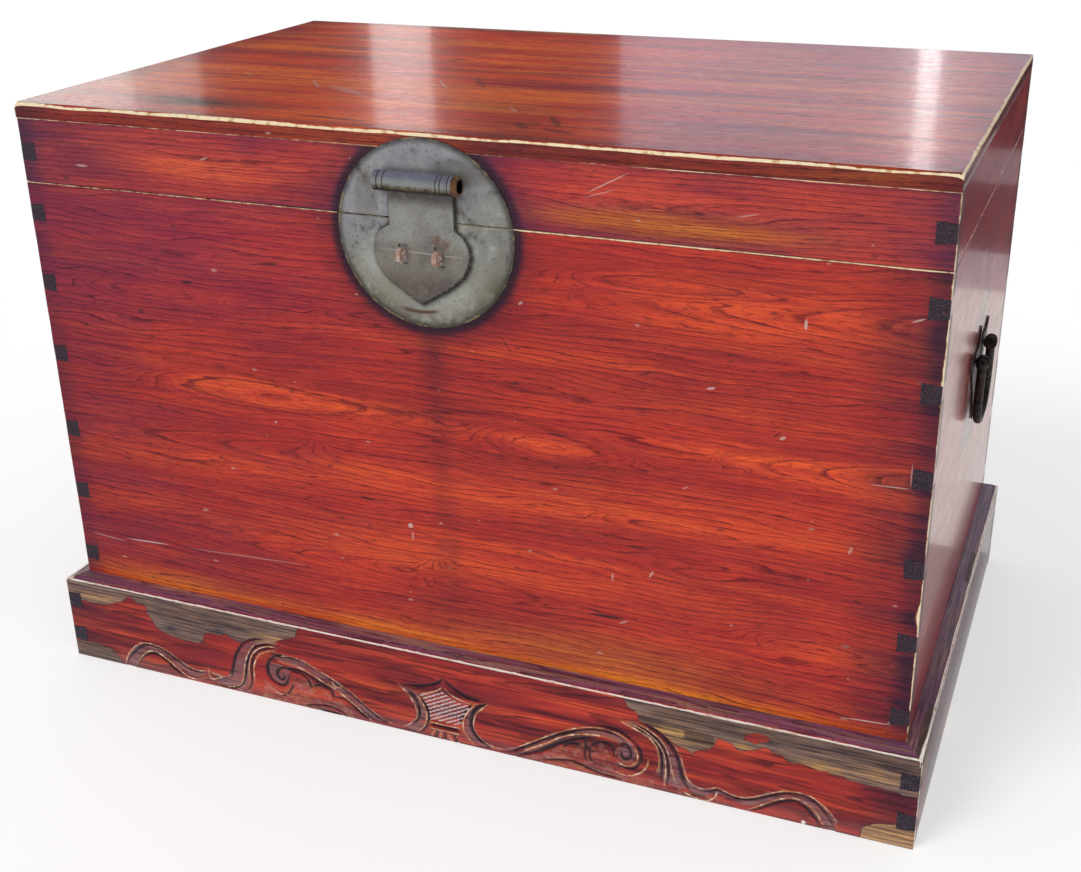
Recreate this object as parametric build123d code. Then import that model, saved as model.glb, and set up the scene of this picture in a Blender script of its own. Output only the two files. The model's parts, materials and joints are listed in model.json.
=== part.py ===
from build123d import *
import math
import os

os.makedirs("parts", exist_ok=True)

# Large lacquered trunk on a carved plinth. Millimetres, +Z up, front faces -Y, X to the right.
# Origin: middle of the plinth's footprint, at floor level.

# ---------------------------------------------------------------- driving dimensions
BODY_HALF_W = 475.0        # carcase half width
BODY_FRONT = -293.0        # carcase front face (Y)
BODY_BACK = 307.0          # carcase back face (Y)
BOARD_T = 18.0             # wall and lid rail thickness
SPLIT_BODY = 571.5         # top of the carcase walls (Z)
SPLIT_LID = 572.3          # bottom of the lid rails (Z)
LID_RAIL_TOP = 638.5       # underside of the lid's top board (Z)
TOTAL_H = 654.5            # top of the lid (Z)

PLINTH_HALF_W = 493.0
PLINTH_FRONT = -314.0
PLINTH_BACK = 314.0
PLINTH_H = 104.0           # height of the plinth's outer arris
PLINTH_H_IN = 107.0        # height of its sloping top where it meets the carcase
MITRE_Z = 96.0             # the corner is mitred above this height, dovetailed below
WALL_Z0 = 90.0             # underside of the carcase walls
BACK_RAIL_IN = 289.0       # inner face of the back plinth rail

LEDGER_W = 30.0
LEDGER_H = 24.0
FLOOR_T = 14.0
FLOOR_GAP = 0.5

PIN_OUT = 8.5              # dovetail pin half height at the corner
PIN_IN = 10.0              # and at the inner baseline
BODY_PINS = [133.0, 214.0, 291.0, 381.0, 462.0, 539.0]
LID_PINS = [604.0]
PLINTH_PINS = [31.0, 77.0]

PLATE_X, PLATE_Z, PLATE_R = -10.0, 558.0, 92.0     # round lock plate
PLATE_T = 1.5
PLATE_GAP_LO, PLATE_GAP_HI = 571.1, 572.7          # gap between the two halves

HASP_AX_Y, HASP_AX_Z = -304.4, 610.0               # hasp hinge axis (along X)
BARREL_R = 9.5
BARREL_BORE = 7.1
PIN_R = 7.0
PIN_BORE = 5.7
BARREL_X0, BARREL_X1 = -46.7, 21.5
EYE_L = (-53.0, -47.0)                             # fixed eyes either side of the barrel
EYE_R = (21.8, 27.8)
PIN_CAP = (28.1, 33.5)                             # rolled open end of the tube pin
SHEET_T = 2.0                                      # hasp sheet
NECK = (-45.0, 21.5)
STAPLE_X = [-32.3, 5.9]
STAPLE_Y, STAPLE_Z = -302.1, 538.3
STAPLE_BORE, STAPLE_R, STAPLE_W = 4.0, 7.5, 5.0
SLOT_W, SLOT_H = 10.0, 19.5

HANDLE_Y, HANDLE_Z = 7.0, 397.0                    # centre of the two handle pivots
HANDLE_AX = 484.0                                  # distance of the pivot axis from the middle plane
HANDLE_PLATE_T = 1.6
LIMB_Y = 40.0                                      # bail limbs each side of the centre
EYE_Y = 31.0                                       # eye posts each side of the centre
EYE_W = 6.0
EYE_BORE, EYE_OUT = 3.6, 7.0
BAIL_END_R = 3.3
BAIL_R = 4.6
BAIL_DROP = 70.0                                   # pivot axis down to the grip's centre line
BAIL_CORNER = 30.0
BALL_R = 6.4

HINGE_X = 300.0
HINGE_Y, HINGE_Z = 310.4, 572.0
KNUCKLE_R = 3.0
HINGE_PIN_R = 1.5
HINGE_BORE = 1.56
LEAF_T = 1.5
LEAF_HALF = 30.0


# ---------------------------------------------------------------- helpers
def box(x0, x1, y0, y1, z0, z1):
    return Pos((x0 + x1) / 2, (y0 + y1) / 2, (z0 + z1) / 2) * Box(x1 - x0, y1 - y0, z1 - z0)


def prism(points, push):
    """A solid from a closed polygon of 3-D points pushed along a vector."""
    face = Face(Wire.make_polygon([Vector(*p) for p in points], close=True))
    return Part() + Solid.extrude(face, Vector(*push))


def rod(p, direction, r, length):
    """A cylinder that starts at p."""
    return Part() + Solid.make_cylinder(r, length, Plane(origin=p, z_dir=direction))


def rod_x(x0, x1, y, z, r):
    return rod((x0, y, z), (1, 0, 0), r, x1 - x0)


def save(node, *shapes):
    solids = []
    for s in shapes:
        solids += list(s.solids())
    for s in solids:
        if not s.is_valid:
            print("invalid solid in", node)
    shape = solids[0] if len(solids) == 1 else Compound(children=solids)
    export_step(shape, f"parts/{node}.step")
    print(node, len(solids), round(sum(s.volume for s in solids)))


def pins(centres, side, y0, y1, xi, xo):
    """Dovetail pins of an end board, from y0 to y1, between |x| = xi (wide) and xo (narrow)."""
    out = []
    for z in centres:
        out.append(prism([(side * xi, y0, z - PIN_IN), (side * xo, y0, z - PIN_OUT),
                          (side * xo, y0, z + PIN_OUT), (side * xi, y0, z + PIN_IN)], (0, y1 - y0, 0)))
    return out


XI, XO = BODY_HALF_W - BOARD_T, BODY_HALF_W
YI0, YI1 = BODY_FRONT + BOARD_T, BODY_BACK - BOARD_T


def carcase(z0, z1, centres, holes_front=(), holes_side=()):
    """Four dovetailed walls: front and back with tails, ends with pins."""
    front = box(-XO, XO, BODY_FRONT, YI0, z0, z1)
    back = box(-XO, XO, YI1, BODY_BACK, z0, z1)
    ends = []
    for side in (-1, 1):
        end = box(min(side * XI, side * XO), max(side * XI, side * XO), YI0, YI1, z0, z1)
        for p in pins(centres, side, BODY_FRONT, YI0, XI, XO):
            front = front - p
            end = end + p
        for p in pins(centres, side, YI1, BODY_BACK, XI, XO):
            back = back - p
            end = end + p
        ends.append(end)
    for h in holes_front:
        front = front - h
    for side, h in holes_side:
        ends[0 if side < 0 else 1] = ends[0 if side < 0 else 1] - h
    return front, back, ends[0], ends[1]


# ---------------------------------------------------------------- plinth
HW, HI = PLINTH_HALF_W, BODY_HALF_W
top_cut = 120.0


def slope(x0, y0, x1, y1, nx, ny, w):
    """The sloping top over an edge from (x0, y0) to (x1, y1); (nx, ny) points inwards, w wide."""
    a = [(x0, y0, MITRE_Z), (x0, y0, PLINTH_H), (x0 + nx * w, y0 + ny * w, PLINTH_H_IN),
         (x0 + nx * w, y0 + ny * w, MITRE_Z)]
    return prism(a, (x1 - x0, y1 - y0, 0))


def plan(points):
    return prism([(x, y, MITRE_Z - 1) for x, y in points], (0, 0, 30))


front_w = BODY_FRONT - PLINTH_FRONT
side_w = PLINTH_HALF_W - BODY_HALF_W
back_w = PLINTH_BACK - BODY_BACK

front_rail = box(-HW, HW, PLINTH_FRONT, BODY_FRONT, 0, MITRE_Z)
front_rail += slope(-HW, PLINTH_FRONT, HW, PLINTH_FRONT, 0, 1, front_w) & plan(
    [(-HW, PLINTH_FRONT), (HW, PLINTH_FRONT), (HI, BODY_FRONT), (-HI, BODY_FRONT)])

back_rail = box(-HW, HW, BACK_RAIL_IN, PLINTH_BACK, 0, MITRE_Z)
back_rail += slope(HW, PLINTH_BACK, -HW, PLINTH_BACK, 0, -1, back_w) & plan(
    [(-HW, PLINTH_BACK), (HW, PLINTH_BACK), (HI, BODY_BACK), (-HI, BODY_BACK)])
back_rail -= box(-HI, HI, BACK_RAIL_IN - 1, BODY_BACK, WALL_Z0, MITRE_Z + 30)

side_rails = {}
for side in (-1, 1):
    x0, x1 = sorted((side * HI, side * HW))
    rail = box(x0, x1, BODY_FRONT, BACK_RAIL_IN, 0, MITRE_Z)
    for p in pins(PLINTH_PINS, side, PLINTH_FRONT, BODY_FRONT, HI, HW):
        rail += p
        front_rail -= p
    for p in pins(PLINTH_PINS, side, BACK_RAIL_IN, PLINTH_BACK, HI, HW):
        rail += p
        back_rail -= p
    top = slope(side * HW, PLINTH_FRONT, side * HW, PLINTH_BACK, -side, 0, side_w)
    rail += top & plan([(side * HW, PLINTH_FRONT), (side * HW, PLINTH_BACK),
                        (side * HI, BODY_BACK), (side * HI, BODY_FRONT)])
    side_rails[side] = rail

save("base_front_rail", front_rail)
save("base_back_rail", back_rail)
save("base_left_rail", side_rails[-1])
save("base_right_rail", side_rails[1])

LZ0 = WALL_Z0 - LEDGER_H
save("base_front_ledger", box(-HI, HI, BODY_FRONT, BODY_FRONT + LEDGER_W, LZ0, WALL_Z0))
save("base_back_ledger", box(-HI, HI, BACK_RAIL_IN - LEDGER_W, BACK_RAIL_IN, LZ0, WALL_Z0))
for side, name in ((-1, "left"), (1, "right")):
    x0, x1 = sorted((side * (HI - LEDGER_W), side * HI))
    save(f"base_{name}_ledger", box(x0, x1, BODY_FRONT + LEDGER_W, BACK_RAIL_IN - LEDGER_W, LZ0, WALL_Z0))

# ---------------------------------------------------------------- holes that the fittings need
SHANK_R = 2.4
POST_R = 2.7
staple_holes = [rod((x, STAPLE_Y, STAPLE_Z), (0, 1, 0), SHANK_R, YI0 + 0.01 - STAPLE_Y) for x in STAPLE_X]
eye_xs = [(EYE_L[0] + EYE_L[1]) / 2, (EYE_R[0] + EYE_R[1]) / 2]
eye_holes = [rod((x, HASP_AX_Y, HASP_AX_Z), (0, 1, 0), SHANK_R, YI0 + 0.01 - HASP_AX_Y) for x in eye_xs]
post_holes = []
for side in (-1, 1):
    for dy in (-EYE_Y, EYE_Y):
        post_holes.append((side, rod((side * HANDLE_AX, HANDLE_Y + dy, HANDLE_Z), (-side, 0, 0), POST_R,
                                     HANDLE_AX - XI + 0.01)))

NAIL_R, NAIL_LEN = 1.2, 13.0


def nail(x, z):
    """A nail driven forwards through a hinge leaf into the back wall."""
    shank = rod((x, BODY_BACK + LEAF_T, z), (0, -1, 0), NAIL_R, NAIL_LEN)
    head = Part() + Solid.make_cylinder(2.6, 0.9, Plane(origin=(x, BODY_BACK + LEAF_T, z), z_dir=(0, 1, 0)))
    return shank, head


body_nail_at, lid_nail_at = [], []
for side in (-1, 1):
    for dx in (-22.0, -7.5, 7.5, 22.0):
        body_nail_at.append((side * HINGE_X + dx, HINGE_Z - (14.0 if abs(dx) > 10 else 27.0)))
        lid_nail_at.append((side * HINGE_X + dx, HINGE_Z + (14.0 if abs(dx) > 10 else 27.0)))

# ---------------------------------------------------------------- carcase walls and floor
front, back, left, right = carcase(WALL_Z0, SPLIT_BODY, BODY_PINS, staple_holes, post_holes)
for x, z in body_nail_at:
    back -= nail(x, z)[0]
save("body_front_board", front)
save("body_back_board", back)
save("body_left_board", left)
save("body_right_board", right)

depth = YI1 - YI0
for i, name in enumerate(("front", "middle", "back")):
    y0 = YI0 + depth * i / 3 + (FLOOR_GAP / 2 if i else 0)
    y1 = YI0 + depth * (i + 1) / 3 - (FLOOR_GAP / 2 if i < 2 else 0)
    save(f"floor_{name}_board", box(-XI, XI, y0, y1, WALL_Z0, WALL_Z0 + FLOOR_T))

# ---------------------------------------------------------------- lid
front, back, left, right = carcase(SPLIT_LID, LID_RAIL_TOP, LID_PINS, eye_holes)
for x, z in lid_nail_at:
    back -= nail(x, z)[0]
save("lid_front_rail", front)
save("lid_back_rail", back)
save("lid_left_rail", left)
save("lid_right_rail", right)
save("lid_top_board", box(-XO, XO, BODY_FRONT, BODY_BACK, LID_RAIL_TOP, TOTAL_H))

# ---------------------------------------------------------------- round lock plate in two halves
disc = rod((PLATE_X, BODY_FRONT, PLATE_Z), (0, -1, 0), PLATE_R, PLATE_T)
disc = chamfer(disc.edges().filter_by(GeomType.CIRCLE).sort_by(Axis.Y)[0], 0.5)
lower = disc & box(PLATE_X - 100, PLATE_X + 100, BODY_FRONT - 5, BODY_FRONT + 1, 400, PLATE_GAP_LO)
upper = disc & box(PLATE_X - 100, PLATE_X + 100, BODY_FRONT - 5, BODY_FRONT + 1, PLATE_GAP_HI, 700)
for h in staple_holes:
    lower -= h
for h in eye_holes:
    upper -= h
save("lock_plate_lower", lower)
save("lock_plate_upper", upper)


def clinched_eye(centre, axis_x, w, bore, out_r, shank_r, shank_end, into, prong):
    """An eye on a split shank. The shank runs from the eye along `into` to shank_end, where its two
    halves are bent apart on the inner face of the board."""
    c = Vector(*centre)
    a = Vector(*axis_x)
    d = Vector(*into)
    ring = rod(c - a * (w / 2), axis_x, out_r, w)
    shank = rod(c, into, shank_r, shank_end)
    body = ring + shank - rod(c - a * (w / 2 + 1), axis_x, bore, w + 2)
    up = Vector(0, 0, 1)
    tip = c + d * shank_end
    for s in (-1, 1):
        p = tip + up * (s * prong / 2) + d * 0.7
        size = [abs(a.X) * 3.2 + abs(d.X) * 1.4, abs(a.Y) * 3.2 + abs(d.Y) * 1.4, prong]
        body += Pos(p.X, p.Y, p.Z) * Box(*size)
    return body


# ---------------------------------------------------------------- hasp eyes, tube pin, staples
reach = YI0 - HASP_AX_Y
eyes = [clinched_eye((x, HASP_AX_Y, HASP_AX_Z), (1, 0, 0), EYE_L[1] - EYE_L[0], PIN_R, BARREL_R, SHANK_R,
                     reach, (0, 1, 0), 13.0) for x in eye_xs]
save("hasp_hinge_left_eye", eyes[0])
save("hasp_hinge_right_eye", eyes[1])

tube = rod_x(EYE_L[0], PIN_CAP[1], HASP_AX_Y, HASP_AX_Z, PIN_R)
tube += rod_x(PIN_CAP[0], PIN_CAP[1], HASP_AX_Y, HASP_AX_Z, BARREL_R - 0.1)
tube -= rod_x(EYE_L[0] + 3.0, PIN_CAP[1] + 1, HASP_AX_Y, HASP_AX_Z, PIN_BORE)
tube = chamfer(tube.edges().filter_by(GeomType.CIRCLE).sort_by(Axis.X)[-2:], 0.8)
save("hasp_hinge_pin", tube)

for x, name in zip(STAPLE_X, ("left", "right")):
    save(f"hasp_{name}_staple", clinched_eye((x, STAPLE_Y, STAPLE_Z), (1, 0, 0), STAPLE_W, STAPLE_BORE,
                                             STAPLE_R, SHANK_R, YI0 - STAPLE_Y, (0, 1, 0), 11.0))

# ---------------------------------------------------------------- hasp: barrel, neck and heart
sheet_back = HASP_AX_Y + BARREL_R
heart = [(-45, 566), (-49, 563.5), (-56, 559), (-61, 551), (-63, 541), (-61.5, 531), (-57, 521), (-50, 514),
         (-40, 506.5), (-28, 498.5), (-15.5, 491), (-3, 498.5), (10, 506), (21, 514), (29, 522), (34, 531),
         (36.5, 541), (35, 551), (29.5, 559.5), (23, 564), (NECK[1], 566)]
outline = [(x, sheet_back, z) for x, z in heart] + [(NECK[1], sheet_back, HASP_AX_Z), (NECK[0], sheet_back, HASP_AX_Z)]
hasp = prism(outline, (0, -SHEET_T, 0))
hasp += rod_x(BARREL_X0, BARREL_X1, HASP_AX_Y, HASP_AX_Z, BARREL_R)
hasp -= rod_x(BARREL_X0 - 1, BARREL_X1 + 1, HASP_AX_Y, HASP_AX_Z, BARREL_BORE)
for x in STAPLE_X:
    hasp -= box(x - SLOT_W / 2, x + SLOT_W / 2, sheet_back - SHEET_T - 1, sheet_back + 1,
                STAPLE_Z - SLOT_H / 2, STAPLE_Z + SLOT_H / 2)
save("hasp", hasp)

# ---------------------------------------------------------------- drop handles on both ends
half_plate = [(0, 28), (3.2, 19), (7, 11.5), (13, 8.5), (20, 9.5), (33, 8), (45, 7.2), (58, 8.5), (68, 11), (76, 14),
              (70, 4), (62, -4), (52, -9), (48, -17), (40, -21), (34, -31), (25, -37), (19, -48), (10, -58), (0, -77)]
plate_pts = half_plate + [(-y, z) for y, z in reversed(half_plate) if y]
for side, name in ((1, "right"), (-1, "left")):
    plate = prism([(side * XO, HANDLE_Y + y, HANDLE_Z + z) for y, z in plate_pts],
                  (side * HANDLE_PLATE_T, 0, 0))
    for s, h in post_holes:
        if s == side:
            plate -= h
    save(f"{name}_handle_plate", plate)
    for dy, end in ((-EYE_Y, "front"), (EYE_Y, "back")):
        post = clinched_eye((side * HANDLE_AX, HANDLE_Y + dy, HANDLE_Z), (0, 1, 0), EYE_W, EYE_BORE,
                            EYE_OUT, POST_R, HANDLE_AX - XI, (-side, 0, 0), 14.0)
        save(f"{name}_handle_{end}_post", post)
    # bail: one bar bent to a U, with its ends turned in through the eyes and a ball at each corner
    zb = HANDLE_Z - BAIL_DROP
    x = side * HANDLE_AX
    path = Wire([
        Line((x, HANDLE_Y - LIMB_Y, HANDLE_Z), (x, HANDLE_Y - LIMB_Y, zb + BAIL_CORNER)),
        ThreePointArc((x, HANDLE_Y - LIMB_Y, zb + BAIL_CORNER),
                      (x, HANDLE_Y - LIMB_Y + BAIL_CORNER * (1 - math.sqrt(0.5)),
                       zb + BAIL_CORNER * (1 - math.sqrt(0.5))),
                      (x, HANDLE_Y - LIMB_Y + BAIL_CORNER, zb)),
        Line((x, HANDLE_Y - LIMB_Y + BAIL_CORNER, zb), (x, HANDLE_Y + LIMB_Y - BAIL_CORNER, zb)),
        ThreePointArc((x, HANDLE_Y + LIMB_Y - BAIL_CORNER, zb),
                      (x, HANDLE_Y + LIMB_Y - BAIL_CORNER * (1 - math.sqrt(0.5)),
                       zb + BAIL_CORNER * (1 - math.sqrt(0.5))),
                      (x, HANDLE_Y + LIMB_Y, zb + BAIL_CORNER)),
        Line((x, HANDLE_Y + LIMB_Y, zb + BAIL_CORNER), (x, HANDLE_Y + LIMB_Y, HANDLE_Z)),
    ])
    section = Plane(origin=(x, HANDLE_Y - LIMB_Y, HANDLE_Z), z_dir=(0, 0, -1)) * Circle(BAIL_R)
    bail = Part() + sweep(section, path=path)
    for s in (-1, 1):
        bail += rod((x, HANDLE_Y + s * LIMB_Y, HANDLE_Z), (0, -s, 0), BAIL_END_R, LIMB_Y - EYE_Y + EYE_W / 2 + 4.0)
        bail += Pos(x, HANDLE_Y + s * LIMB_Y, HANDLE_Z) * Sphere(BALL_R)
    save(f"{name}_bail", bail)

# ---------------------------------------------------------------- lid hinges on the back
for side, name in ((-1, "left"), (1, "right")):
    cx = side * HINGE_X
    leaf = box(cx - LEAF_HALF, cx + LEAF_HALF, BODY_BACK, BODY_BACK + LEAF_T, HINGE_Z - 35, HINGE_Z - 3.3)
    for x0, x1 in ((cx - LEAF_HALF, cx - 10.4), (cx + 10.4, cx + LEAF_HALF)):
        leaf += box(x0, x1, BODY_BACK, BODY_BACK + LEAF_T, HINGE_Z - 4, HINGE_Z)
        leaf += box(x0, x1, BODY_BACK, HINGE_Y, HINGE_Z - KNUCKLE_R, HINGE_Z)
        leaf += rod_x(x0, x1, HINGE_Y, HINGE_Z, KNUCKLE_R)
    leaf -= rod_x(cx - 40, cx + 40, HINGE_Y, HINGE_Z, HINGE_BORE)
    for nx, nz in body_nail_at:
        leaf -= nail(nx, nz)[0].moved(Location((0, LEAF_T, 0)))
    save(f"{name}_hinge_body_leaf", leaf)

    leaf = box(cx - LEAF_HALF, cx + LEAF_HALF, BODY_BACK, BODY_BACK + LEAF_T, HINGE_Z + 3.3, HINGE_Z + 35)
    leaf += box(cx - 10, cx + 10, BODY_BACK, BODY_BACK + LEAF_T, HINGE_Z + 0.3, HINGE_Z + 4)
    leaf += box(cx - 10, cx + 10, BODY_BACK, HINGE_Y, HINGE_Z + 0.3, HINGE_Z + KNUCKLE_R)
    leaf += rod_x(cx - 10, cx + 10, HINGE_Y, HINGE_Z, KNUCKLE_R)
    leaf -= rod_x(cx - 40, cx + 40, HINGE_Y, HINGE_Z, HINGE_BORE)
    for nx, nz in lid_nail_at:
        leaf -= nail(nx, nz)[0].moved(Location((0, LEAF_T, 0)))
    save(f"{name}_hinge_lid_leaf", leaf)
    save(f"{name}_hinge_pin", rod_x(cx - LEAF_HALF, cx + LEAF_HALF, HINGE_Y, HINGE_Z, HINGE_PIN_R))

for name, spots in (("body", body_nail_at), ("lid", lid_nail_at)):
    out = []
    for x, z in spots:
        s, h = nail(x, z)
        out.append(s + h)
    save(f"hinge_{name}_nails", *out)
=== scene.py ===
import json
import math

import bpy
import numpy as np
from mathutils import Matrix, Vector

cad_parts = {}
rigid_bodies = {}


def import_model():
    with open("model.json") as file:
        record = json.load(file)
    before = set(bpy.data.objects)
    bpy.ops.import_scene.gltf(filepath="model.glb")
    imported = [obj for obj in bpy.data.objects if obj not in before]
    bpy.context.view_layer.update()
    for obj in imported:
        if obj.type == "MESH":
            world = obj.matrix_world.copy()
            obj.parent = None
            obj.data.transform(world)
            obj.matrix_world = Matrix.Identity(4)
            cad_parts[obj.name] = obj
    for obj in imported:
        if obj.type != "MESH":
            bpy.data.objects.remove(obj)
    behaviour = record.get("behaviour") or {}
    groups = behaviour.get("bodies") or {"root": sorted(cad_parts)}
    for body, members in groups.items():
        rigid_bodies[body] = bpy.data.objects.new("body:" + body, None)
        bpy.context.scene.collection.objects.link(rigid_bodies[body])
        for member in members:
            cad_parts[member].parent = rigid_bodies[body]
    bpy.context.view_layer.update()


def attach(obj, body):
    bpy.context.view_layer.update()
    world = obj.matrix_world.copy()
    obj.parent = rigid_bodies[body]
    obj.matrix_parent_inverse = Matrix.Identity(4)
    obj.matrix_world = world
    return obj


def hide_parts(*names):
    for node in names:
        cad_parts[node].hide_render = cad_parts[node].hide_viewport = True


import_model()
scene = bpy.context.scene
RNG = np.random.default_rng(7)

# All design numbers below are millimetres in the shared frame; meshes are written in metres.
HW, YF, YB = 475.0, -293.0, 307.0
BT = 18.0
ZW0, ZW1 = 90.0, 571.5
ZL0, ZL1, ZT = 572.3, 638.5, 654.5
PHW, PYF, PYB, PH, PHI, MIT = 493.0, -314.0, 314.0, 104.0, 107.0, 96.0
BODY_PINS = [133.0, 214.0, 291.0, 381.0, 462.0, 539.0]
LID_PINS = [604.0]
BASE_PINS = [31.0, 77.0]
PIN_OUT, PIN_IN = 8.5, 10.0


# ------------------------------------------------------------------ small numeric tools
def lerp(a, b, t):
    return a + (b - a) * t


def sstep(x, a, b):
    t = np.clip((np.asarray(x, float) - a) / (b - a), 0, 1)
    return t * t * (3 - 2 * t)


def _hash(i, j, seed):
    n = (i.astype(np.int64) * 374761393 + j.astype(np.int64) * 668265263 + seed * 974634777) & 0xFFFFFFFF
    n = ((n ^ (n >> 13)) * 1274126177) & 0xFFFFFFFF
    return ((n ^ (n >> 16)) & 0xFFFF) / 65535.0


def noise2(x, y, seed=0):
    """Smooth value noise in 0..1."""
    x, y = np.broadcast_arrays(np.asarray(x, float), np.asarray(y, float))
    i, j = np.floor(x), np.floor(y)
    fx, fy = x - i, y - j
    fx, fy = fx * fx * (3 - 2 * fx), fy * fy * (3 - 2 * fy)
    a = lerp(_hash(i, j, seed), _hash(i + 1, j, seed), fx)
    b = lerp(_hash(i, j + 1, seed), _hash(i + 1, j + 1, seed), fx)
    return lerp(a, b, fy)


def fbm(x, y, seed=0, octaves=3):
    s, w, t = 0.0, 1.0, 0.0
    for k in range(octaves):
        s = s + w * noise2(np.asarray(x) * 2 ** k, np.asarray(y) * 2 ** k, seed + 17 * k)
        t += w
        w *= 0.5
    return s / t


def srgb(r, g, b):
    out = []
    for c in (r, g, b):
        c = c / 255.0
        out.append(c / 12.92 if c <= 0.04045 else ((c + 0.055) / 1.055) ** 2.4)
    return np.array(out)


def spread(a, b, step, lo=True, hi=True, extra=(), fine=(0.0, 0.3, 0.8, 1.6, 2.8, 4.5)):
    """Grid lines from a to b: close together by an edge, then every step."""
    pts = [a, b]
    if lo:
        pts += [a + f for f in fine]
    if hi:
        pts += [b - f for f in fine]
    a2 = a + (fine[-1] if lo else 0)
    b2 = b - (fine[-1] if hi else 0)
    n = max(1, int(round((b2 - a2) / step)))
    grid = list(np.linspace(a2, b2, n + 1))
    extra = sorted(e for e in extra if a < e < b)
    grid = [g for g in grid if all(abs(g - e) > step * 0.35 for e in extra)]
    pts += grid + extra
    pts = sorted(pts)
    out = [pts[0]]
    for p in pts[1:]:
        if p - out[-1] > 0.12:
            out.append(p)
    out[-1] = b
    return np.array(out)


# ------------------------------------------------------------------ mesh building
def mesh_object(name, co, faces, body, smooth=30, mats=(), attrs=None, replaces=()):
    me = bpy.data.meshes.new(name)
    me.from_pydata([tuple(p) for p in np.asarray(co) / 1000.0], [], faces)
    me.update()
    if attrs:
        for key, val in attrs.items():
            val = np.asarray(val, np.float32)
            if val.ndim == 1:
                a = me.attributes.new(key, "FLOAT", "POINT")
                a.data.foreach_set("value", val)
            elif val.shape[1] == 3:
                a = me.attributes.new(key, "FLOAT_VECTOR", "POINT")
                a.data.foreach_set("vector", val.ravel())
            else:
                a = me.attributes.new(key, "FLOAT_COLOR", "POINT")
                a.data.foreach_set("color", val.ravel())
    me.shade_smooth()
    me.set_sharp_from_angle(angle=math.radians(smooth))
    ob = bpy.data.objects.new(name, me)
    scene.collection.objects.link(ob)
    for m in mats:
        me.materials.append(m)
    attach(ob, body)
    if replaces:
        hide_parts(*replaces)
    return ob


def slab(U, V, keep, place, flip=False, mids=(0.07, 0.16, 0.30)):
    """Two layers of a quad grid over the kept cells, joined by walls round every open side.
    place(layer, u, v) gives the points of a layer. Returns points, faces and each point's layer (0 outer, 1 inner,
    between on the walls) and u, v."""
    nu, nv = len(U), len(V)
    uu, vv = np.meshgrid(U, V, indexing="ij")
    used = np.zeros((nu, nv), bool)
    used[:-1, :-1] |= keep
    used[1:, :-1] |= keep
    used[:-1, 1:] |= keep
    used[1:, 1:] |= keep
    index = -np.ones((nu, nv), int)
    index[used] = np.arange(used.sum())
    n = int(used.sum())
    u1, v1 = uu[used], vv[used]
    top, bot = place(0, u1, v1), place(1, u1, v1)
    ii, jj = np.nonzero(keep)
    a, b, c, d = index[ii, jj], index[ii + 1, jj], index[ii + 1, jj + 1], index[ii, jj + 1]
    faces = np.stack([a, b, c, d], 1).tolist()
    faces += np.stack([d + n, c + n, b + n, a + n], 1).tolist()
    pad = np.zeros((nu + 1, nv + 1), bool)
    pad[1:-1, 1:-1] = keep
    walls = []
    for i in range(nu):
        for j in range(nv - 1):
            left, right = pad[i, j + 1], pad[i + 1, j + 1]
            if left != right:
                p, q = index[i, j], index[i, j + 1]
                walls.append((q, p) if right else (p, q))
    for i in range(nu - 1):
        for j in range(nv):
            low, high = pad[i + 1, j], pad[i + 1, j + 1]
            if low != high:
                p, q = index[i, j], index[i + 1, j]
                walls.append((p, q) if high else (q, p))
    border = sorted({p for w in walls for p in w})
    where = {p: k for k, p in enumerate(border)}
    nb = len(border)
    border = np.array(border)
    extra = [top[border] * (1 - f) + bot[border] * f for f in mids]
    co = np.concatenate([top, bot] + extra)
    layer = np.concatenate([np.zeros(n), np.ones(n)] + [np.full(nb, f) for f in mids])
    us = np.concatenate([u1, u1] + [u1[border]] * len(mids))
    vs = np.concatenate([v1, v1] + [v1[border]] * len(mids))
    for p, q in walls:
        cp = [p] + [2 * n + k * nb + where[p] for k in range(len(mids))] + [p + n]
        cq = [q] + [2 * n + k * nb + where[q] for k in range(len(mids))] + [q + n]
        for k in range(len(cp) - 1):
            faces.append([cp[k], cp[k + 1], cq[k + 1], cq[k]])
    if flip:
        faces = [f[::-1] for f in faces]
    return co, faces, layer, us, vs


def seg_dist(px, pz, pts):
    """Distance to a polyline, and the place along it (0..1)."""
    pts = np.asarray(pts, float)
    best = np.full(len(px), 1e9)
    at = np.zeros(len(px))
    seg = np.hypot(*(pts[1:] - pts[:-1]).T)
    run = np.concatenate([[0], np.cumsum(seg)])
    for k in range(len(pts) - 1):
        ax, az = pts[k]
        bx, bz = pts[k + 1]
        dx, dz = bx - ax, bz - az
        L = dx * dx + dz * dz + 1e-9
        t = np.clip(((px - ax) * dx + (pz - az) * dz) / L, 0, 1)
        d = np.hypot(px - ax - t * dx, pz - az - t * dz)
        near = d < best
        best = np.where(near, d, best)
        at = np.where(near, (run[k] + t * seg[k]) / max(run[-1], 1e-9), at)
    return best, at


def smooth_line(pts, n=3):
    """Chaikin corner cutting."""
    p = np.asarray(pts, float)
    for _ in range(n):
        q = np.empty((2 * len(p), 2))
        q[0], q[-1] = p[0], p[-1]
        q[1:-1:2] = 0.75 * p[:-1] + 0.25 * p[1:]
        q[2::2] = 0.25 * p[:-1] + 0.75 * p[1:]
        p = q
    return p


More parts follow.
